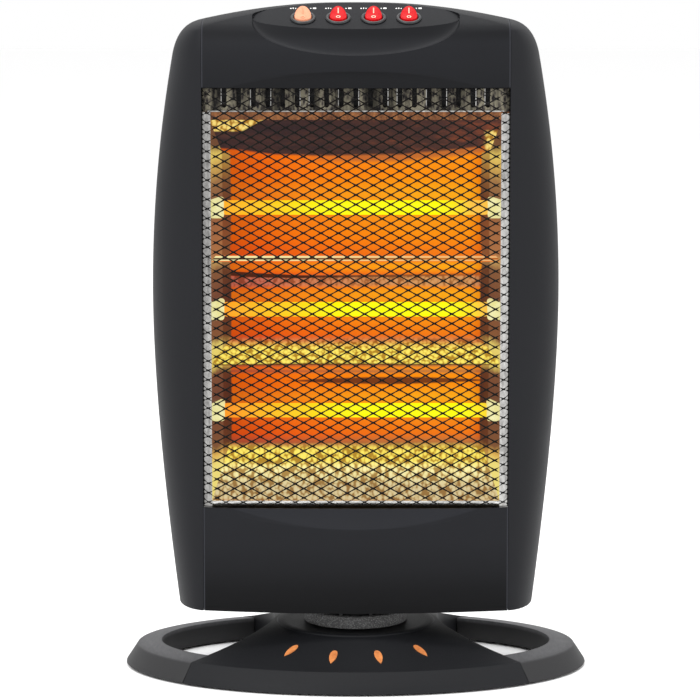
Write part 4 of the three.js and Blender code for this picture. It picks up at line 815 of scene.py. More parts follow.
def tube_finish():
    """Quartz tube lit by its filament: orange at the left end, pure yellow from the middle to the right"""
    r = Recipe("glowing quartz tube")
    x, z = r.axis("X"), r.axis("Z")
    frost = r.noise(260.0, 3.0, 0.6, stretch=(0.1, 1.0, 1.0))
    shift = (z - 0.28) * 0.12
    glow = r.ramp(r.span(x + shift, -0.104, 0.104), [
        (0.0, screen(252, 150, 34)), (0.10, screen(255, 178, 34)), (0.26, screen(255, 205, 26)),
        (0.40, screen(255, 240, 8)), (0.50, screen(255, 252, 2)), (0.84, screen(255, 252, 2)),
        (0.91, screen(255, 226, 30)), (0.97, screen(248, 190, 70))])
    glow = r.blend(r.span(frost, 0.3, 0.7, 0.0, 0.06), glow, screen(255, 250, 120))
    return r.set(colour=r.tint(glow, (0.06, 0.06, 0.06)), rough=0.3, glow=glow, glow_strength=1.0,
                 specular=0.06).material


def ceramic_finish():
    r = Recipe("lit ceramic holder")
    cloud = r.noise(140.0, 4.0, 0.6)
    fine = r.noise(900.0, 3.0, 0.6)
    shade = r.ramp(cloud, [(0.3, screen(236, 226, 140)), (0.7, screen(250, 246, 190))])
    # the holders' pale yellow glow is painted light from the tube ends
    return r.set(colour=r.tint(shade, (0.2, 0.2, 0.2)), rough=r.span(fine, 0.3, 0.7, 0.55, 0.7),
                 normal=r.bump(fine, 0.2, 0.0002), specular=0.1, glow=shade, glow_strength=0.8).material


# ---------------------------------------------------------------- stand


class HEATER_OT_stand(bpy.types.Operator):
    """Hollow-sloped pedestal, side arcs, leaves, neck and pads"""
    bl_idname = "heater.stand"
    bl_label = "Stand"

    def execute(self, context):
        s = context.scene.heater_stand
        m = FINISH
        pedestal(s, m)
        for side in (1, -1):
            side_arc(s, side, m)
        for i in range(4):
            leaf(s, i, m)
        neck(s, m)
        for i in range(1, 5):
            pad(i, m)
        bush(m)
        for node, finish in (("base_bottom_plate", "dark"), ("turntable_washer", "nylon"),
                             ("swivel_gearbox", "dark"), ("swivel_motor", "steel"), ("tilt_switch", "dark")):
            dress(node, m[finish])
        return {"FINISHED"}


def oval(s, band, angle, shift=0.0):
    """Point on the outer, ridge or inner line of the rim"""
    a, b = s.half_width, s.half_depth
    if band != "outer":
        a, b = a - s.ridge_side, b - s.ridge_front
    if band == "inner":
        a, b = a - s.rim_width, b - s.rim_width
    return Vector(((a - shift) * math.cos(angle), (b - shift) * math.sin(angle), 0))


def slope_height(s, x, y):
    """Height of the pedestal's hollow slope"""
    r = math.hypot(x, y)
    a, b = s.half_width - s.ridge_side, s.half_depth - s.ridge_front
    edge = 1 / math.hypot(x / r / a, y / r / b)
    t = min(max((r - s.collar_radius) / (edge - s.collar_radius), 0.0), 1.0)
    return s.rim_height + (s.plateau - 0.0008 - s.rim_height) * (1 - t) ** s.fan_sag


def pedestal_plan(s, band, u):
    """Plan of the pedestal, u from 0 to 1 once round: front arc, right flank, rear arc, left flank"""
    front, rear = s.front_seam, s.rear_seam

    def flank(t):
        a, b = oval(s, "inner", -front), oval(s, "inner", rear)
        waist = Vector((s.waist_half, s.waist_y, 0))
        if t < 0.5:
            return curve([a, (s.waist_half, s.waist_y - 0.038, 0), waist], t * 2)
        return curve([waist, (s.waist_half, s.waist_y + 0.036, 0), b], t * 2 - 1)

    if u < 0.36:
        return oval(s, band, front - math.pi + (math.pi - 2 * front) * u / 0.36)
    if u < 0.59:
        # a short step joins the rim's outer corner to the flank
        t = (u - 0.36) / 0.23
        corner = oval(s, band, -front)
        if t < 0.12:
            return corner.lerp(oval(s, "inner", -front), t / 0.12)
        if t > 0.88:
            return oval(s, "inner", rear).lerp(oval(s, band, rear), (t - 0.88) / 0.12)
        return flank((t - 0.12) / 0.76)
    if u < 0.77:
        return oval(s, band, rear + (math.pi - 2 * rear) * (u - 0.59) / 0.18)
    p = pedestal_plan(s, band, 0.36 + 0.23 * (1 - (u - 0.77) / 0.23))
    return Vector((-p.x, p.y, 0))


def pedestal(s, m):
    """Fan-shaped pedestal with a lipped plateau, walls down to the floor and a hollow underside"""
    wall, top = s.wall, s.plateau
    lip = [(0.0123, top - 0.0012), (0.050, top - 0.0012), (0.0535, top - 0.0004), (0.0555, top),
           (0.0590, top), (s.collar_radius - 0.0006, top - 0.0003), (s.collar_radius, top - 0.0012)]
    runs = [i / 16 for i in range(1, 16)]
    rows = len(lip) + len(runs) + 9

    def place(u, v):
        u = min(u, 1.0)
        edge, foot = pedestal_plan(s, "ridge", u), pedestal_plan(s, "outer", u)
        reach = edge.length
        way = edge / reach
        row = round(v * (rows - 1))
        if row < len(lip):
            r, z = lip[row]
            return Vector((way.x * r, way.y * r, z))
        row -= len(lip)
        if row < len(runs):
            r = s.collar_radius + (reach - s.collar_radius) * runs[row]
            z = slope_height(s, way.x * r, way.y * r)
            return Vector((way.x * r, way.y * r, min(z, top - 0.0012)))
        row -= len(runs)
        z_edge = slope_height(s, edge.x, edge.y)
        inward = -Vector((edge.x, edge.y, 0)).normalized() * wall * 1.25
        table = [
            Vector((edge.x, edge.y, z_edge)),
            edge.lerp(foot, 0.5) + Vector((0, 0, (z_edge + s.floor_gap) / 2)),
            Vector((foot.x, foot.y, s.floor_gap)),
            foot + inward + Vector((0, 0, s.floor_gap)),
            edge + inward + Vector((0, 0, z_edge - wall)),
            None, None,
            Vector((way.x * 0.0595, way.y * 0.0595, top - wall)),
            Vector((way.x * 0.0123, way.y * 0.0123, top - wall)),
        ]
        if row in (5, 6):
            r = reach - wall * 1.25 - (reach - wall * 1.25 - s.collar_radius) * (0.4 if row == 5 else 0.8)
            return Vector((way.x * r, way.y * r, slope_height(s, way.x * r, way.y * r) - wall))
        return table[row]

    bm = laid_grid(400, rows - 1, place)
    bmesh.ops.remove_doubles(bm, verts=bm.verts, dist=2e-6)
    # join the underside back to the plateau's bore
    rims = [e for e in bm.edges if e.is_boundary]
    bmesh.ops.bridge_loops(bm, edges=rims)
    bmesh.ops.recalc_face_normals(bm, faces=bm.faces)
    obj = object_from(bm, "pedestal_moulding")
    soften(obj, 0.0006, 2, 28)
    settle(obj, "stand", m["stand"], "base_plastic", ["base_pedestal"], 26)


def side_arc(s, side, m):
    """One C-shaped side arc, open underneath"""
    gap = 0.0005 / s.half_depth
    start, end = -s.front_seam + gap, s.rear_seam - gap
    wall = s.wall
    section = [
        ("outer", s.floor_gap, 0), ("outer", s.floor_gap + 0.0012, 0.0006), ("ridge", s.rim_height, 0),
        ("inner", s.rim_inner_height, 0), ("inner", s.floor_gap, 0), ("inner", s.floor_gap, -wall),
        ("inner", s.rim_inner_height - wall, -wall), ("ridge", s.rim_height - wall, 0.001),
        ("outer", s.floor_gap, wall),
    ]

    def place(u, v):
        band, z, shift = section[round(u * len(section)) % len(section)]
        p = oval(s, band, start + (end - start) * v, shift)
        return Vector((p.x * side, p.y, z))

    bm = laid_grid(len(section), 150, place)
    bmesh.ops.remove_doubles(bm, verts=bm.verts, dist=1e-6)
    bmesh.ops.holes_fill(bm, edges=[e for e in bm.edges if e.is_boundary], sides=0)
    bmesh.ops.recalc_face_normals(bm, faces=bm.faces)
    name = "right" if side > 0 else "left"
    obj = object_from(bm, f"side_arc_{name}")
    soften(obj, 0.0007, 3, 28)
    settle(obj, "stand", m["arc"], "base_plastic", [f"base_arc_{name}"], 26)


def leaf(s, index, m):
    """Leaf insert, round towards the plateau and pointed towards the rim, with a domed face"""
    angle = (index - 1.5) * s.leaf_pitch
    x, y = s.leaf_radius * math.sin(angle), -s.leaf_radius * math.cos(angle)
    near, far = slope_height(s, x * 0.92, y * 0.92), slope_height(s, x * 1.08, y * 1.08)
    tilt = math.atan2(near - far, s.leaf_radius * 0.16)
    half, wide = s.leaf_length / 2, s.leaf_width / 2
    side = ([(0, -half), (wide * 1.25, -half * 0.2), (wide, half * 0.45)],
            [(wide, half * 0.45), (wide * 0.85, half), (0, half)])
    outline = [curve([(*p, 0) for p in part], i / 10) for part in side for i in range(10)]
    outline += [Vector((0, half, 0))] + [Vector((-p.x, p.y, 0)) for p in reversed(outline[1:])]
    bm = bmesh.new()
    face = bm.faces.new([bm.verts.new(p) for p in outline])
    for thickness, depth in ((0.0004, 0.0005), (0.0006, 0.0003), (0.0009, 0.0001)):
        bmesh.ops.inset_region(bm, faces=[face], thickness=thickness, depth=depth, use_even_offset=True)
    bottom = [e for e in bm.edges if e.is_boundary]
    made = bmesh.ops.extrude_edge_only(bm, edges=bottom)
    bmesh.ops.translate(bm, vec=(0, 0, -0.0014),
                        verts=[v for v in made["geom"] if isinstance(v, bmesh.types.BMVert)])
    bmesh.ops.holes_fill(bm, edges=[e for e in bm.edges if e.is_boundary], sides=0)
    bmesh.ops.recalc_face_normals(bm, faces=bm.faces)
    seat = Matrix.Translation((x, y, slope_height(s, x, y)))
    turn = seat @ Matrix.Rotation(angle, 4, "Z") @ Matrix.Rotation(tilt, 4, "X")
    bmesh.ops.transform(bm, matrix=turn, verts=bm.verts)
    obj = object_from(bm, f"copper_leaf_{index + 1}")
    settle(obj, "stand", m["copper"], "copper_leaf", [f"leaf_insert_{index + 1}"], 40)


def neck(s, m):
    """Textured neck ring with rounded edges"""
    low, high = s.plateau + 0.0003, s.plateau + 0.0003 + s.neck_height
    r = s.neck_radius
    bm = turned([(s.neck_bore, low), (r + 0.0015, low), (r + 0.0012, low + 0.003),
                 (r + 0.0002, high - 0.0012), (r - 0.0006, high - 0.0003), (r - 0.0015, high),
                 (s.neck_bore + 0.0006, high), (s.neck_bore, high - 0.0008)], 120)
    settle(object_from(bm, "neck_moulding"), "stand", m["neck"], "neck_plastic", ["neck_ring"], 50)


def pad(index, m):
    """Rubber pad with a bevelled edge and a moulded ring underneath"""
    low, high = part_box(f"rubber_pad_{index}")
    centre, r, z = (low + high) / 2, (high.x - low.x) / 2, high.z
    bm = turned_solid([(0, 0.0004), (r * 0.55, 0.0004), (r * 0.62, 0), (r * 0.9, 0), (r, 0.0005),
                       (r, z), (0, z)], 40)
    bmesh.ops.translate(bm, vec=(centre.x, centre.y, 0), verts=bm.verts)
    settle(object_from(bm, f"floor_pad_{index}"), "stand", m["rubber"], "rubber", [f"rubber_pad_{index}"], 30)


def bush(m):
    """Cord inlet bush with a flared mouth"""
    low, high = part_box("cord_inlet_bush")
    centre = (low + high) / 2
    r, y0, y1 = (high.x - low.x) / 2, low.y, high.y
    bm = turned([(r * 0.62, y0), (r * 0.62, y1 - 0.002), (r * 0.8, y1), (r * 0.96, y1), (r, y1 - 0.0006),
                 (r, y1 - 0.0022), (r * 0.86, y1 - 0.0026), (r * 0.86, y0 + 0.002), (r, y0 + 0.0012),
                 (r * 0.9, y0)], 40)
    bmesh.ops.rotate(bm, cent=(0, 0, 0), matrix=Matrix.Rotation(-math.pi / 2, 3, "X"), verts=bm.verts)
    bmesh.ops.translate(bm, vec=(centre.x, 0, centre.z), verts=bm.verts)
    settle(object_from(bm, "inlet_bush"), "stand", m["rubber"], "rubber", ["cord_inlet_bush"], 30)


# ---------------------------------------------------------------- head


def silhouettes(h):
    """Front view and side view of the head as Bezier curves in (distance, height)"""
    shoulder, widest = h.top - h.shoulder_drop, h.bottom + h.widest
    flank = [
        [(h.foot_half, h.bottom, 0), (h.half_width, h.bottom + h.widest * 0.62, 0),
         (h.half_width, widest, 0)],
        [(h.half_width, widest, 0), (h.half_width, widest + (shoulder - widest) * 0.5, 0),
         (h.shoulder_half, shoulder, 0)],
        [(h.shoulder_half, shoulder, 0), (h.shoulder_reach, h.top - h.shoulder_rise, 0),
         (h.crown_half, h.top - h.crown_drop, 0)],
        [(h.crown_half, h.top - h.crown_drop, 0), (h.crown_half * 0.5, h.top, 0), (0, h.top, 0)],
    ]
    fore = [[(h.front, h.top - h.front_crown, 0), (h.front, h.top - 0.019, 0), (h.crown_y - 0.031, h.top, 0),
             (h.crown_y, h.top, 0)]]
    aft = [[(h.back, h.top - h.back_crown, 0), (h.back - 0.001, h.top - 0.012, 0),
            (h.crown_y + 0.030, h.top, 0), (h.crown_y, h.top, 0)]]
    return flank, fore, aft


def face_y(h, x, z):
    """Front of the head at one place, where it rolls back to the crown"""
    front = value_at(silhouettes(h)[1], z)
    return front + h.front_bulge * (h.crown_y - front) / (h.crown_y - h.front) * (x / h.joint) ** 2


def head_form(h, p):
    """The whole head as one closed form, before it is parted into mouldings"""
    flank, fore, aft = silhouettes(h)
    bend = h.top - h.front_crown
    levels = [h.bottom + (bend - h.bottom) * i / 96 for i in range(96)]
    levels += [bend + (h.top - 0.00025 - bend) * math.sin(math.pi / 2 * i / 60) for i in range(61)]
    rows = []
    for z in levels:
        w = max(value_at(flank, z), 0.0005)
        front = min(value_at(fore, z), h.crown_y - 0.0002)
        back = max(value_at(aft, z), h.crown_y + 0.0002)
        rows.append((z, w, front, back))

    def outline(u, v):
        z, w, front, back = rows[round(v * (len(rows) - 1))]
        u = u * 2 - 1
        ahead = (h.crown_y - front) / (h.crown_y - h.front)
        behind = (back - h.crown_y) / (h.back - h.crown_y)
        knee = w * min(h.joint / w, 0.9)
        front_edge, back_edge = front + h.front_bulge * ahead, back - h.back_bulge * behind
        widest = h.crown_y + (h.widest_y - h.crown_y) * behind
        side, a = (-1 if u < 0 else 1), abs(u)
        if a < 0.32:
            t = a / 0.32
            return Vector((side * knee * t, front + h.front_bulge * ahead * t * t, z))
        if a < 0.52:
            slope = 2 * h.front_bulge * ahead / knee
            q = curve([(knee, front_edge, z),
                       (knee + (w - knee) * 0.45, front_edge + (w - knee) * 0.45 * slope, z),
                       (w, widest - (widest - front_edge) * 0.62, z), (w, widest, z)], (a - 0.32) / 0.2)
        elif a < 0.70:
            q = curve([(w, widest, z), (w, widest + (back_edge - widest) * 0.5, z),
                       (knee + (w - knee) * 0.5, back_edge - 0.0015 * behind, z), (knee, back_edge, z)],
                       (a - 0.52) / 0.18)
        else:
            t = 1 - (a - 0.70) / 0.30
            q = Vector((knee * t, back - h.back_bulge * behind * t * t, z))
        q.x *= side
        return q

    bm = laid_grid(420, len(rows) - 1, outline)
    bmesh.ops.remove_doubles(bm, verts=bm.verts, dist=2e-6)
    bmesh.ops.holes_fill(bm, edges=[e for e in bm.edges if e.is_boundary], sides=0)
    bmesh.ops.recalc_face_normals(bm, faces=bm.faces)
    obj = object_from(bm, "head_form")
    for cutter in (pad_lens(p), dish(h, p), hollow(h, h.arch_half, h.arch_rise, h.opening_top - 0.001),
                   hollow(h, h.bow_half, h.bow_drop, h.opening_bottom + 0.001)):
        carve(obj, cutter)
    form = bmesh.new()
    form.from_mesh(obj.data)
    bpy.data.objects.remove(obj)
    return form


def hollow(h, half, tall, z):
    """Cutter of a shallow hollow with a crisp edge, bent to follow the bulge of the front"""
    deep = 0.030 + h.scoop_depth
    share = math.sqrt(1 - (0.030 / deep) ** 2)
    bm = bmesh.new()
    bmesh.ops.create_uvsphere(bm, u_segments=128, v_segments=64, radius=1)
    bmesh.ops.scale(bm, vec=(half / share, deep, tall / share), verts=bm.verts)
    bmesh.ops.translate(bm, vec=(0, h.front - 0.030, z), verts=bm.verts)
    for v in bm.verts:
        v.co.y += h.front_bulge * (v.co.x / h.joint) ** 2
    return bm


def from_pad(p, x, v, w=0.0):
    """Point at v along the slope of the pad and w above it"""
    c, s = math.cos(p.tilt), math.sin(p.tilt)
    return Vector((x, p.centre_y + v * c - w * s, p.centre_z + v * s + w * c))


def pad_lens(p):
    """Cutter above the lens-shaped pad"""
    bm = bmesh.new()
    for w in (0.0, 0.03):
        ring = []
        for i in range(158):
            a = 2 * math.pi * i / 158
            deep = p.fore if math.sin(a) < 0 else p.aft
            ring.append(bm.verts.new(from_pad(p, p.half_width * math.cos(a), deep * math.sin(a), w)))
        bm.faces.new(ring)
    bmesh.ops.bridge_loops(bm, edges=bm.edges[:])
    bmesh.ops.recalc_face_normals(bm, faces=bm.faces)
    return bm


def dish(h, p):
    """Cutter in front of the pad: its back rises from a crease on the face to the pad's front edge"""
    steps, rows = 96, 18

    def place(u, v):
        a = math.pi * (u - 0.5)
        x = p.half_width * math.sin(a)
        low = p.centre_z - p.dish_drop * math.cos(a) - 0.002
        crease = Vector((x, face_y(h, x, low) - 0.0003, low))
        edge = from_pad(p, x, 0.0003 - p.fore * math.cos(a), 0.0002)
        row = round(v * (rows + 4))
        if row <= rows:
            t = (row / rows) ** 1.6
            y = crease.y + (edge.y - crease.y) * math.sqrt(t)
            return Vector((x, y, crease.z + (edge.z - crease.z) * t))
        far = h.front - 0.03
        return (Vector((x, edge.y, h.top + 0.01)), Vector((x, far, h.top + 0.01)), Vector((x, far, crease.z)),
                crease)[row - rows - 1]

    bm = laid_grid(steps, rows + 4, place)
    bmesh.ops.remove_doubles(bm, verts=bm.verts, dist=1e-6)
    bmesh.ops.holes_fill(bm, edges=[e for e in bm.edges if e.is_boundary], sides=0)
    bmesh.ops.recalc_face_normals(bm, faces=bm.faces)
    return bm


def open_ends(bm, axis, *planes):
    """Deletes the flat caps that lie in given planes, so that a shell stays open there"""
    flat = [f for f in bm.faces if any(all(abs(v.co[axis] - p) < 1e-6 for v in f.verts) for p in planes)]
    bmesh.ops.delete(bm, geom=flat, context="FACES")
    return bm


class HEATER_OT_mouldings(bpy.types.Operator):
    """Side covers, top cover with its control pad, lower panel and rear cover"""
    bl_idname = "heater.mouldings"
    bl_label = "Head mouldings"

    def execute(self, context):
        h, p = context.scene.heater_head, context.scene.heater_pad
        m = FINISH
        form = head_form(h, p)
        side_covers(form, h, m)
        top_cover(form, h, p, m)
        lower_panel(form, h, m)
        rear_cover(form, h, m)
        form.free()
        dress("head_floor", m["dark"])
        dress("swivel_spindle", m["steel"])
        dress("spindle_retainer", m["steel"])
        return {"FINISHED"}


def side_covers(form, h, m):
    """Bowed side covers, closed underneath and turned in along their seams"""
    for side, name in ((1, "right"), (-1, "left")):
        bm = form.copy()
        cut(bm, (side * h.joint, 0, 0), (-side, 0, 0))
        obj = object_from(open_ends(bm, 2, h.top - 0.00025), f"side_moulding_{name}")
        thicken(obj, h.wall)
        bake(obj)
        soften(obj, 0.0007, 3, 40)
        settle(obj, "head", m["charcoal"], "charcoal_plastic", [f"side_cover_{name}"], 32)


def on_pad(p, index):
    """Matrix that sets a piece, drawn flat at the origin, onto the pad at a switch's place"""
    x = (index - 2.5) * p.pitch
    return Matrix.Translation((x, p.centre_y, p.centre_z)) @ Matrix.Rotation(p.tilt, 4, "X")


def top_cover(form, h, p, m):
    """Top cover with the switches' holes through its pad"""
    half = h.joint - h.gap
    bm = form.copy()
    keep_box(bm, low=(-half, None, h.opening_top + h.gap), high=(half, h.crown_seam, None))
    obj = object_from(bm, "crown_moulding")
    thicken(obj, h.wall, even=False)
    bake(obj)
    for i in range(1, 5):
        hole = turned_solid([(0, -0.03), (0.0086, -0.03), (0.0086, 0.01), (0, 0.01)], 40)
        bmesh.ops.transform(hole, matrix=on_pad(p, i), verts=hole.verts)
        carve(obj, hole)
    soften(obj, 0.0004, 2, 30)
    settle(obj, "head", m["front"], "charcoal_plastic", ["top_cover"], 13)


def lower_panel(form, h, m):
    half = h.joint - h.gap
    bm = form.copy()
    keep_box(bm, low=(-half, None, None),
             high=(half, h.front + h.front_bulge + 0.015, h.opening_bottom - h.gap))
    open_ends(bm, 2, h.bottom)
    obj = object_from(bm, "lower_panel_moulding")
    thicken(obj, h.wall, even=False)
    bake(obj)
    soften(obj, 0.0005, 2, 30)
    settle(obj, "head", m["front"], "charcoal_plastic", ["lower_front_panel"], 13)


def rear_cover(form, h, m):
    """Rear cover with two banks of slots, a carrying recess and its screws"""
    half = h.joint - h.gap
    bm = form.copy()
    keep_box(bm, low=(-half, h.crown_seam + h.gap, None), high=(half, None, None))
    open_ends(bm, 2, h.bottom)
    obj = object_from(bm, "rear_moulding")
    thicken(obj, h.wall)
    bake(obj)
    height = h.top - h.bottom
    slots = bmesh.new()
    for bank in (0.62, 0.14):
        for i in range(11):
            x, z = (i - 5) * 0.013, h.bottom + height * bank
            join_into(slots, box_mesh((x - 0.002, h.crown_seam + 0.012, z - 0.029),
                                      (x + 0.002, 0.08, z + 0.029), 0.0018, 3))
    carve(obj, slots)
    z1 = h.top - 0.062
    z0 = z1 - 0.032
    floor_y = h.back - 0.024
    carve(obj, box_mesh((-0.052, floor_y, z0), (0.052, 0.09, z1), 0.004, 4))
    soften(obj, 0.0005, 2, 30)
    settle(obj, "head", m["charcoal"], "charcoal_plastic", ["rear_cover"], 26)
    for name, low, high in (("lower", 0.020, 0.105), ("upper", height * 0.62 - 0.037, height * 0.62 + 0.037)):
        baffle = box_mesh((-0.085, h.back - 0.0165, h.bottom + low),
                          (0.085, h.back - 0.0155, h.bottom + high), 0.0003, 1)
        settle(object_from(baffle, f"rear_baffle_{name}"), "head", m["dark"], "dark_plastic", [], 40)
    # the recess is a tray behind the opening
    tray = box_mesh((-0.052, floor_y, z0), (0.052, 0.09, z1), 0.004, 4)
    keep_box(tray, high=(None, h.back - 0.0005, None))
    bulged = [v for v in tray.verts if v.co.y > h.back - 0.002]
    for v in bulged:
        v.co.y = h.back - 0.0012 - h.back_bulge * (v.co.x / h.joint) ** 2
    bmesh.ops.recalc_face_normals(tray, faces=tray.faces)
    obj = object_from(tray, "carrying_recess")
    modifier(obj, "SOLIDIFY", thickness=h.wall, offset=1, use_even_offset=True)
    settle(obj, "head", m["front"], "charcoal_plastic", [], 30)
    places = [(side * x, z) for x, z in ((0.1, 0.075), (0.1, 0.30), (0.09, 0.455)) for side in (-1, 1)]
    for i, (x, z) in enumerate(places):
        screw(i + 1, x, h.back - h.back_bulge * (x / h.joint) ** 2, z, m)


def screw(index, x, y, z, m):
    """Cross-headed screw in a shallow cup"""
    bm = turned_solid([(0, 0.0003), (0.0016, 0.0004), (0.0026, 0.0001), (0.003, -0.0004), (0.0033, -0.0005),
                       (0.0036, 0.0004), (0.0042, 0.0004), (0.0044, -0.0008), (0, -0.0012)], 32)
    # the dark cross is painted shade standing for the recess of a cross head
    cross = box_mesh((-0.0018, -0.0003, 0.0001), (0.0018, 0.0003, 0.0005))
    join_into(cross, box_mesh((-0.0003, -0.0018, 0.0001), (0.0003, 0.0018, 0.00052)))
    seat = Matrix.Translation((x, y, z)) @ Matrix.Rotation(-math.pi / 2, 4, "X")
    for mesh, name, finish in ((bm, "rear_screw", m["steel"]), (cross, "rear_screw_cross", m["dark"])):
        bmesh.ops.transform(mesh, matrix=seat, verts=mesh.verts)
        settle(object_from(mesh, f"{name}_{index}"), "head", finish, "steel", [], 30)


# ---------------------------------------------------------------- switches


class HEATER_OT_switches(bpy.types.Operator):
    """Four round rocker switches on the sloping pad"""
    bl_idname = "heater.switches"
    bl_label = "Switches"

    def execute(self, context):
        p = context.scene.heater_pad
        for i in range(1, 5):
            switch_body(p, i, FINISH)
            rocker(p, i, FINISH)
            legend(p, i, FINISH)
        return {"FINISHED"}


def switch_body(p, index, m):
    """Bezel with a rounded rim round a deep well"""
    r, top = p.bezel, p.bezel_height
    well = p.rocker + 0.0006
    bm = turned([(well, -0.008), (well, top - 0.0009), (well + 0.0005, top - 0.0003), (well + 0.0012, top),
                 (r - 0.0012, top), (r - 0.0004, top - 0.0004), (r, top - 0.0011), (r, 0.0003),
                 (0.0083, 0.0003), (0.0083, -0.012), (0.0060, -0.013), (0.0060, -0.011)], 64)
    floor = turned_solid([(0, -0.0095), (well + 0.0004, -0.0095), (well + 0.0004, -0.0115), (0, -0.0115)], 32)
    join_into(bm, floor)
    bmesh.ops.transform(bm, matrix=on_pad(p, index), verts=bm.verts)
    settle(object_from(bm, f"switch_bezel_{index}"), "head", m["bezel"], "switch_black",
           [f"switch_body_{index}"], 35)


def rocker(p, index, m):
    """Round rocker with a hollow saddle top, its rear half standing up, marked I and O"""
    r, tall = p.rocker, p.rocker_height

    def height(y):
        v = y / r
        return tall - 0.0024 + (0.0044 * v ** 1.6 if v > 0 else 0.0016 * v * v)

    bm = bmesh.new()
    bmesh.ops.create_circle(bm, cap_ends=True, segments=56, radius=r)
    top = bm.faces[:]
    for _ in range(8):
        bmesh.ops.inset_region(bm, faces=top, thickness=r * 0.115, use_even_offset=True)
    for v in bm.verts:
        v.co.z = height(v.co.y) - 0.0006 * max(0.0, (v.co.xy.length / r - 0.85) / 0.15) ** 2
    edge = [e for e in bm.edges if e.is_boundary]
    for level, pull in ((0.0012, 0.0), (-0.0030, 0.0), (-0.0065, 0.1), (-0.0085, 0.22)):
        made = bmesh.ops.extrude_edge_only(bm, edges=edge)
        verts = [g for g in made["geom"] if isinstance(g, bmesh.types.BMVert)]
        edge = [g for g in made["geom"] if isinstance(g, bmesh.types.BMEdge)]
        for v in verts:
            v.co.z = level
            v.co.xy *= 1 - pull
    bmesh.ops.holes_fill(bm, edges=[e for e in bm.edges if e.is_boundary], sides=0)
    bmesh.ops.recalc_face_normals(bm, faces=bm.faces)
    turn = on_pad(p, index) @ Matrix.Rotation(p.rocker_tilt, 4, "X")
    bmesh.ops.transform(bm, matrix=turn, verts=bm.verts)
    obj = object_from(bm, f"rocker_key_{index}")
    soften(obj, 0.0004, 2, 50)
    finish = m["peach"] if index == 1 else m["red"]
    settle(obj, f"rocker_{index}_body", finish, "rocker_peach" if index == 1 else "rocker_red",
           [f"rocker_{index}"], 50)
    # marks that follow the saddle: a stroke on the raised half and a ring on the pressed half
    marks = bmesh.new()
    strip = laid_grid(1, 6, lambda u, v: Vector(((u - 0.5) * 0.0009, 0.0014 + 0.0034 * v, 0)))
    ring = laid_grid(32, 1, lambda u, v: Vector((0, -0.0024, 0)) + (0.0010 + 0.0007 * v) * Vector(
        (math.cos(2 * math.pi * u), math.sin(2 * math.pi * u), 0)))
    for flat in (strip, ring):
        bmesh.ops.remove_doubles(flat, verts=flat.verts, dist=1e-6)
        join_into(marks, flat)
    for v in marks.verts:
        v.co.z = height(v.co.y) + 0.0001
    made = bmesh.ops.extrude_face_region(marks, geom=marks.faces[:])
    lifted = [g for g in made["geom"] if isinstance(g, bmesh.types.BMVert)]
    bmesh.ops.translate(marks, vec=(0, 0, 0.00012), verts=lifted)
    bmesh.ops.recalc_face_normals(marks, faces=marks.faces)
    bmesh.ops.transform(marks, matrix=turn, verts=marks.verts)
    settle(object_from(marks, f"rocker_marks_{index}"), f"rocker_{index}_body",
           m["peach"] if index == 1 else m["mark"], "rocker_peach" if index == 1 else "switch_black", [], 40)


def legend(p, index, m):
    """Plain printed dashes on the pad either side of a switch"""
    bm = bmesh.new()
    for x0, x1, y, tall in ((-0.0098, -0.0086, 0.0150, 0.0013), (-0.0078, -0.0070, 0.0150, 0.0019),
                            (-0.0060, -0.0052, 0.0150, 0.0013), (0.0054, 0.0062, 0.0150, 0.0014),
                            (0.0074, 0.0098, 0.0148, 0.0020)):
        join_into(bm, box_mesh((x0, y, 0.00002), (x1, y + tall, 0.00008)))
    bmesh.ops.transform(bm, matrix=on_pad(p, index), verts=bm.verts)
    settle(object_from(bm, f"pad_dashes_{index}"), "head", m["print"], "switch_black", [], 40)


# ---------------------------------------------------------------- tubes, reflector and vent band


class HEATER_OT_fire(bpy.types.Operator):
    """Reflector, glowing tubes, their holders, end brackets and the slotted vent band"""
    bl_idname = "heater.fire"
    bl_label = "Heating section"

    def execute(self, context):
        f, h = context.scene.heater_fire, context.scene.heater_head
        m = FINISH
        reflector(f, m)
        cheeks(f, m)
        vent_band(f, h, m)
        for side in (1, -1):
            bracket(f, h, side, m)
        for k, name in enumerate(("lower", "middle", "upper")):
            z = f.middle_tube + (k - 1) * f.tube_pitch
            tube(f, name, z, m)
            for side, hand in ((1, "right"), (-1, "left")):
                holder(f, name, hand, side, z, m)
        dress("terminal_block", m["nylon"])
        dress("thermal_cut_out", m["brass"])
        return {"FINISHED"}


def trough_path(f):
    """Side view of the reflector from its upper lip to its lower lip, with rounded bends"""
    tubes = [f.middle_tube + k * f.tube_pitch for k in (1, 0, -1)]
    top = tubes[0] + f.tube_pitch / 2 + 0.0305
    points = [Vector((f.front, top))]
    for k, z in enumerate(tubes):
        if k:
            points.append(Vector((f.front + 0.002, z + f.tube_pitch / 2)))
        points += [Vector((f.back - f.step, z + f.half_back)), Vector((f.back, z + f.half_back * 0.5)),
                   Vector((f.back, z - f.half_back * 0.5)), Vector((f.back - f.step, z - f.half_back))]
        if k == 2:
            points.append(Vector((f.front, z - f.tube_pitch / 2 - 0.030)))
    path = [points[0]]
    for before, here, after in zip(points, points[1:], points[2:]):
        a = here + (before - here).normalized() * 0.004
        b = here + (after - here).normalized() * 0.004
        last = path[-1]
        path += [last.lerp(a, i / 5) for i in range(1, 5)]
        path += [curve([(*a, 0), (*here, 0), (*b, 0)], i / 5).xy for i in range(6)]
    path += [path[-1].lerp(points[-1], i / 5) for i in range(1, 6)]
    return path


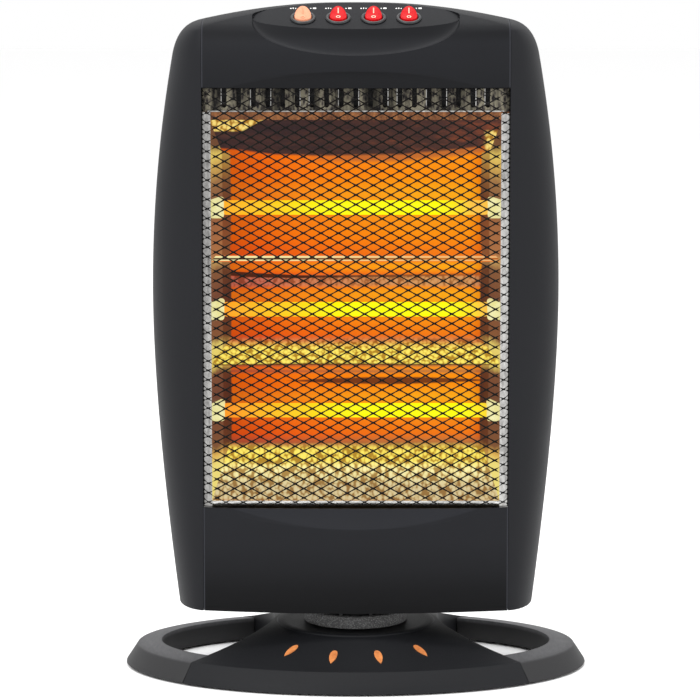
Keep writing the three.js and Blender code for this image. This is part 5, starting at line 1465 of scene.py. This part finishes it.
def reflector(f, m):
    """Pressed sheet with three troughs and small dimples in its wings"""
    path = trough_path(f)

    def place(u, v):
        y, z = path[round(v * (len(path) - 1))]
        return Vector(((u * 2 - 1) * f.half_width, y, z))

    bm = laid_grid(120, len(path) - 1, place)
    bmesh.ops.recalc_face_normals(bm, faces=bm.faces)
    if sum(face.normal.y for face in bm.faces) > 0:
        bmesh.ops.reverse_faces(bm, faces=bm.faces)
    obj = object_from(bm, "reflector_sheet")
    modifier(obj, "SOLIDIFY", thickness=0.0008, offset=-1)
    settle(obj, "head", m["reflector"], "mirror_aluminium", ["reflector"], 60)


def cheeks(f, m):
    """Slanted end walls of the troughs"""
    for side, hand in ((1, "right"), (-1, "left")):
        bm = bmesh.new()
        path = trough_path(f)
        slant = [0.013 * min(1.0, (y - f.front) / 0.03) for y, z in path]
        inner = [bm.verts.new((side * (f.half_width - w), y - 0.0006, z)) for w, (y, z) in zip(slant, path)]
        front = [bm.verts.new((side * (f.half_width - 0.0002), f.front + 0.0005, z)) for y, z in path]
        for a, b, c, d in zip(front, front[1:], inner[1:], inner):
            bm.faces.new((a, b, c, d))
        bmesh.ops.remove_doubles(bm, verts=bm.verts, dist=2e-5)
        bmesh.ops.recalc_face_normals(bm, faces=bm.faces)
        obj = object_from(bm, f"trough_end_{hand}")
        modifier(obj, "SOLIDIFY", thickness=0.0005, offset=0)
        bake(obj)
        for k in (-1, 0, 1):
            z = f.middle_tube + k * f.tube_pitch
            x0, x1 = sorted((side * 0.094, side * (f.half_width + 0.002)))
            carve(obj, box_mesh((x0, f.front - 0.002, z - 0.0079), (x1, f.tube_y + 0.0085, z + 0.0079)))
        settle(obj, "head", m["cheek"], "mirror_aluminium", [], 40)


def vent_band(f, h, m):
    """Slotted sheet above the troughs: slot edges and a fold under it made bright by painted light, and a
    dark sheet behind standing for the shade of the air there
    """
    half = h.joint - 0.0006
    y0 = f.front - 0.0013
    z1 = h.opening_top + 0.002
    z0, low = h.opening_top - 0.0178, h.opening_top - 0.0245
    obj = object_from(box_mesh((-half, y0, low), (half, y0 + 0.001, z1)), "vent_sheet")
    slots = bmesh.new()
    edges = bmesh.new()
    for i in range(f.slots):
        x = (i - (f.slots - 1) / 2) * f.slot_pitch
        w = f.slot_width / 2
        join_into(slots, box_mesh((x - w, y0 - 0.002, z0 + 0.0025),
                                  (x + w, y0 + 0.004, z1 - 0.0005), 0.0017, 4))
        # the punched edge stands up, and its brightness is a painted highlight
        if i % 3 != 1:
            edge = x + w if i % 2 else x - w - 0.0006
            join_into(edges, box_mesh((edge, y0 - 0.0009, z0 + 0.004),
                                      (edge + 0.0006, y0 + 0.0004, z1 - 0.002), 0.0002, 1))
    carve(obj, slots)
    soften(obj, 0.00025, 2, 40)
    settle(obj, "head", m["vent"], "silver_sheet", ["vent_band"], 40)
    settle(object_from(edges, "vent_slot_edges"), "head", m["bracket"], "silver_sheet", [], 40)
    # the fold's brightness is painted light
    fold = box_mesh((-half + 0.004, y0 - 0.0010, z0 - 0.0006), (half - 0.004, y0 - 0.0001, z0 + 0.0003),
                    0.0003, 2)
    settle(object_from(fold, "vent_fold"), "head", m["bracket"], "silver_sheet", [], 40)
    # a dark sheet behind the slots: painted shade where there is only dark air
    shade = box_mesh((-half, f.front + 0.004, z0 + 0.001), (half, f.front + 0.0045, z1))
    settle(object_from(shade, "vent_shade_sheet"), "head", m["dark"], "dark_plastic", [], 40)
    foot = box_mesh((-f.half_width, y0, h.opening_bottom + 0.0004),
                    (f.half_width, y0 + 0.001, h.opening_bottom + 0.0038),
                    0.0003, 2)
    settle(object_from(foot, "reflector_foot"), "head", m["silver"], "silver_sheet", [], 40)


def bracket(f, h, side, m):
    """Upright end bracket with a bright flange whose top is rounded"""
    hand = "right" if side > 0 else "left"
    x0, x1 = f.half_width - 0.0012, h.joint - 0.0003
    y0 = f.front - 0.0024
    low, top = h.opening_bottom - 0.004, h.opening_top - (0.0195 if side > 0 else 0.0185)
    bm = box_mesh((x0, y0, low), (x1, y0 + 0.001, top), 0.0004, 2)
    join_into(bm, box_mesh((f.half_width + 0.0003, y0, low), (f.half_width + 0.0013, f.back, top)))
    join_into(bm, box_mesh((f.half_width + 0.0003, y0 + 0.003, low),
                           (f.half_width + 0.0013, f.back, h.opening_top + 0.004)))
    for v in bm.verts:
        v.co.x *= side
    bmesh.ops.recalc_face_normals(bm, faces=bm.faces)
    obj = object_from(bm, f"end_flange_{hand}")
    settle(obj, "head", m["bracket"], "silver_sheet", [f"end_bracket_{hand}"], 40)


def tube(f, name, z, m):
    """Quartz tube drawn down at both ends"""
    r, half = f.tube_radius, f.tube_length / 2
    profile = [(0, -half), (r * 0.55, -half), (r * 0.8, -half + 0.002), (r, -half + 0.006), (r, half - 0.006),
               (r * 0.8, half - 0.002), (r * 0.55, half), (0, half)]
    bm = turned_solid(profile, 40)
    bmesh.ops.rotate(bm, cent=(0, 0, 0), matrix=Matrix.Rotation(math.pi / 2, 3, "Y"), verts=bm.verts)
    bmesh.ops.translate(bm, vec=(0, f.tube_y, z), verts=bm.verts)
    settle(object_from(bm, f"quartz_tube_{name}"), "head", m["tube"], "tube_glow",
           [f"halogen_tube_{name}"], 40)


def holder(f, name, hand, side, z, m):
    """Ceramic end holder, square with a round throat"""
    x1 = f.half_width + 0.0002
    x0 = f.tube_length / 2 - 0.0045
    wide = 0.0076
    bm = box_mesh((x0, f.tube_y - wide, z - wide), (x1, f.tube_y + wide, z + wide), 0.0022, 3)
    tip = turned_solid([(0, 0), (0.0048, 0), (0.0048, 0.0042), (0.0040, 0.0048), (0, 0.0048)], 28)
    bmesh.ops.rotate(tip, cent=(0, 0, 0), matrix=Matrix.Rotation(math.pi / 2, 3, "Y"), verts=tip.verts)
    bmesh.ops.translate(tip, vec=(x1 - 0.001, f.tube_y, z), verts=tip.verts)
    join_into(bm, tip)
    for v in bm.verts:
        v.co.x *= side
    bmesh.ops.recalc_face_normals(bm, faces=bm.faces)
    settle(object_from(bm, f"tube_holder_{name}_{hand}"), "head", m["ceramic"], "ceramic",
           [f"ceramic_cap_{name}_{hand}"], 35)


# ---------------------------------------------------------------- grille


class HEATER_OT_grille(bpy.types.Operator):
    """Expanded-metal grille at its real pitch, bent back along its edges"""
    bl_idname = "heater.grille"
    bl_label = "Grille"

    def execute(self, context):
        f, h = context.scene.heater_fire, context.scene.heater_head
        grille(f, h, FINISH)
        return {"FINISHED"}


def grille(f, h, m):
    half = h.joint - 0.0006
    low, high = h.opening_bottom + 0.0003, h.opening_top - 0.0003
    cells = 2 * math.ceil((half * 2 / f.diamond_width + (high - low) / f.diamond_height) / 2) + 2
    bm = bmesh.new()
    bmesh.ops.create_grid(bm, x_segments=cells, y_segments=cells, size=cells / 2)
    bmesh.ops.rotate(bm, cent=(0, 0, 0), matrix=Matrix.Rotation(math.radians(45), 3, "Z"), verts=bm.verts)
    bmesh.ops.scale(bm, vec=(f.diamond_width / math.sqrt(2), f.diamond_height / math.sqrt(2), 1),
                    verts=bm.verts)
    bmesh.ops.rotate(bm, cent=(0, 0, 0), matrix=Matrix.Rotation(math.radians(90), 3, "X"), verts=bm.verts)
    bmesh.ops.translate(bm, vec=(0, 0, (low + high) / 2), verts=bm.verts)
    keep_box(bm, low=(-half, None, low), high=(half, None, high))
    bmesh.ops.subdivide_edges(bm, edges=bm.edges, cuts=1, use_grid_fill=False, use_single_edge=False)

    def depth(inside):
        if inside >= f.edge_bend:
            return 0.0
        return f.edge_depth * (1 - inside / f.edge_bend) ** 2

    for v in bm.verts:
        x, z = v.co.x, v.co.z
        v.co.y = f.grille_front + max(depth(half - abs(x)), depth(z - low) * 0.8, depth(high - z) * 0.8)
    obj = object_from(bm, "expanded_grille")
    group = obj.vertex_groups.new(name="bond")
    edges = {}
    for e in obj.data.edges:
        for i in e.vertices:
            edges[i] = edges.get(i, 0) + 1
    for i, count in edges.items():
        group.add([i], 1.0 if count >= 3 else 0.62, "REPLACE")
    modifier(obj, "WIREFRAME", thickness=f.strand, offset=0, use_even_offset=True, use_replace=True,
             use_boundary=True, vertex_group="bond", thickness_vertex_group=0.0)
    settle(obj, "head", m["grille"], "grille_black", ["front_grille"], 60)


# ---------------------------------------------------------------- stage


class HEATER_OT_stage(bpy.types.Operator):
    """Camera at the photograph's angle, pale floor and soft studio light"""
    bl_idname = "heater.stage"
    bl_label = "Stage"

    def execute(self, context):
        scene = context.scene
        data = bpy.data.cameras.new("camera")
        data.lens, data.sensor_width, data.clip_end = 212.7, 36, 50
        camera = bpy.data.objects.new("camera", data)
        camera.location = (-0.0044, -3.132, 0.7235)
        camera.rotation_euler = (math.radians(90 - 8.70), 0, 0)
        scene.collection.objects.link(camera)
        scene.camera = camera

        bm = bmesh.new()
        bmesh.ops.create_grid(bm, x_segments=2, y_segments=2, size=6)
        floor = object_from(bm, "floor")
        r = Recipe("pale floor")
        r.set(colour=(0.97, 0.97, 0.97, 1.0), rough=0.75, specular=0.1)
        floor.data.materials.append(r.material)

        world = bpy.data.worlds.new("studio")
        scene.world = world
        world.use_nodes = True
        world.node_tree.nodes["Background"].inputs["Color"].default_value = (1, 1, 1, 1)
        world.node_tree.nodes["Background"].inputs["Strength"].default_value = 1.0
        scene.view_settings.view_transform = "Standard"
        for name, place, aim, size, power in (
                ("key", (-1.8, -2.4, 2.6), (0, 0, 0.3), 1.4, 42),
                ("fill", (2.2, -1.6, 1.4), (0, 0, 0.25), 1.4, 10),
                ("crown", (0.0, 0.2, 2.4), (0, 0, 0.4), 1.6, 34)):
            light = bpy.data.lights.new(name, "AREA")
            light.size, light.energy = size, power
            lamp = bpy.data.objects.new(name, light)
            lamp.location = place
            lamp.rotation_euler = (Vector(aim) - Vector(place)).to_track_quat("-Z", "Y").to_euler()
            scene.collection.objects.link(lamp)
        return {"FINISHED"}


# ---------------------------------------------------------------- panel and registration


OPERATORS = (HEATER_OT_stage, HEATER_OT_stand, HEATER_OT_mouldings, HEATER_OT_switches, HEATER_OT_fire,
             HEATER_OT_grille)
GROUPS = (("heater_stand", StandSizes), ("heater_head", HeadSizes), ("heater_pad", PadSizes),
          ("heater_fire", FireSizes), ("heater_finishes", Finishes))


class HEATER_PT_panel(bpy.types.Panel):
    """Sizes and pieces of the heater"""
    bl_idname = "HEATER_PT_panel"
    bl_label = "Halogen heater"
    bl_space_type = "VIEW_3D"
    bl_region_type = "UI"
    bl_category = "Heater"

    def draw(self, context):
        for operator in OPERATORS:
            self.layout.operator(operator.bl_idname)
        for name, group in GROUPS:
            box = self.layout.box()
            for key in group.__annotations__:
                box.prop(getattr(context.scene, name), key)


def register():
    for name, group in GROUPS:
        bpy.utils.register_class(group)
        setattr(bpy.types.Scene, name, PointerProperty(type=group))
    for cls in OPERATORS + (HEATER_PT_panel,):
        bpy.utils.register_class(cls)


def unregister():
    for cls in reversed(OPERATORS + (HEATER_PT_panel,)):
        bpy.utils.unregister_class(cls)
    for name, group in reversed(GROUPS):
        delattr(bpy.types.Scene, name)
        bpy.utils.unregister_class(group)


FINISH = {}


def main():
    register()
    FINISH.update(finishes(bpy.context.scene.heater_finishes))
    bpy.ops.heater.stage()
    bpy.ops.heater.stand()
    bpy.ops.heater.mouldings()
    bpy.ops.heater.switches()
    bpy.ops.heater.fire()
    bpy.ops.heater.grille()


if __name__ == "__main__":
    main()
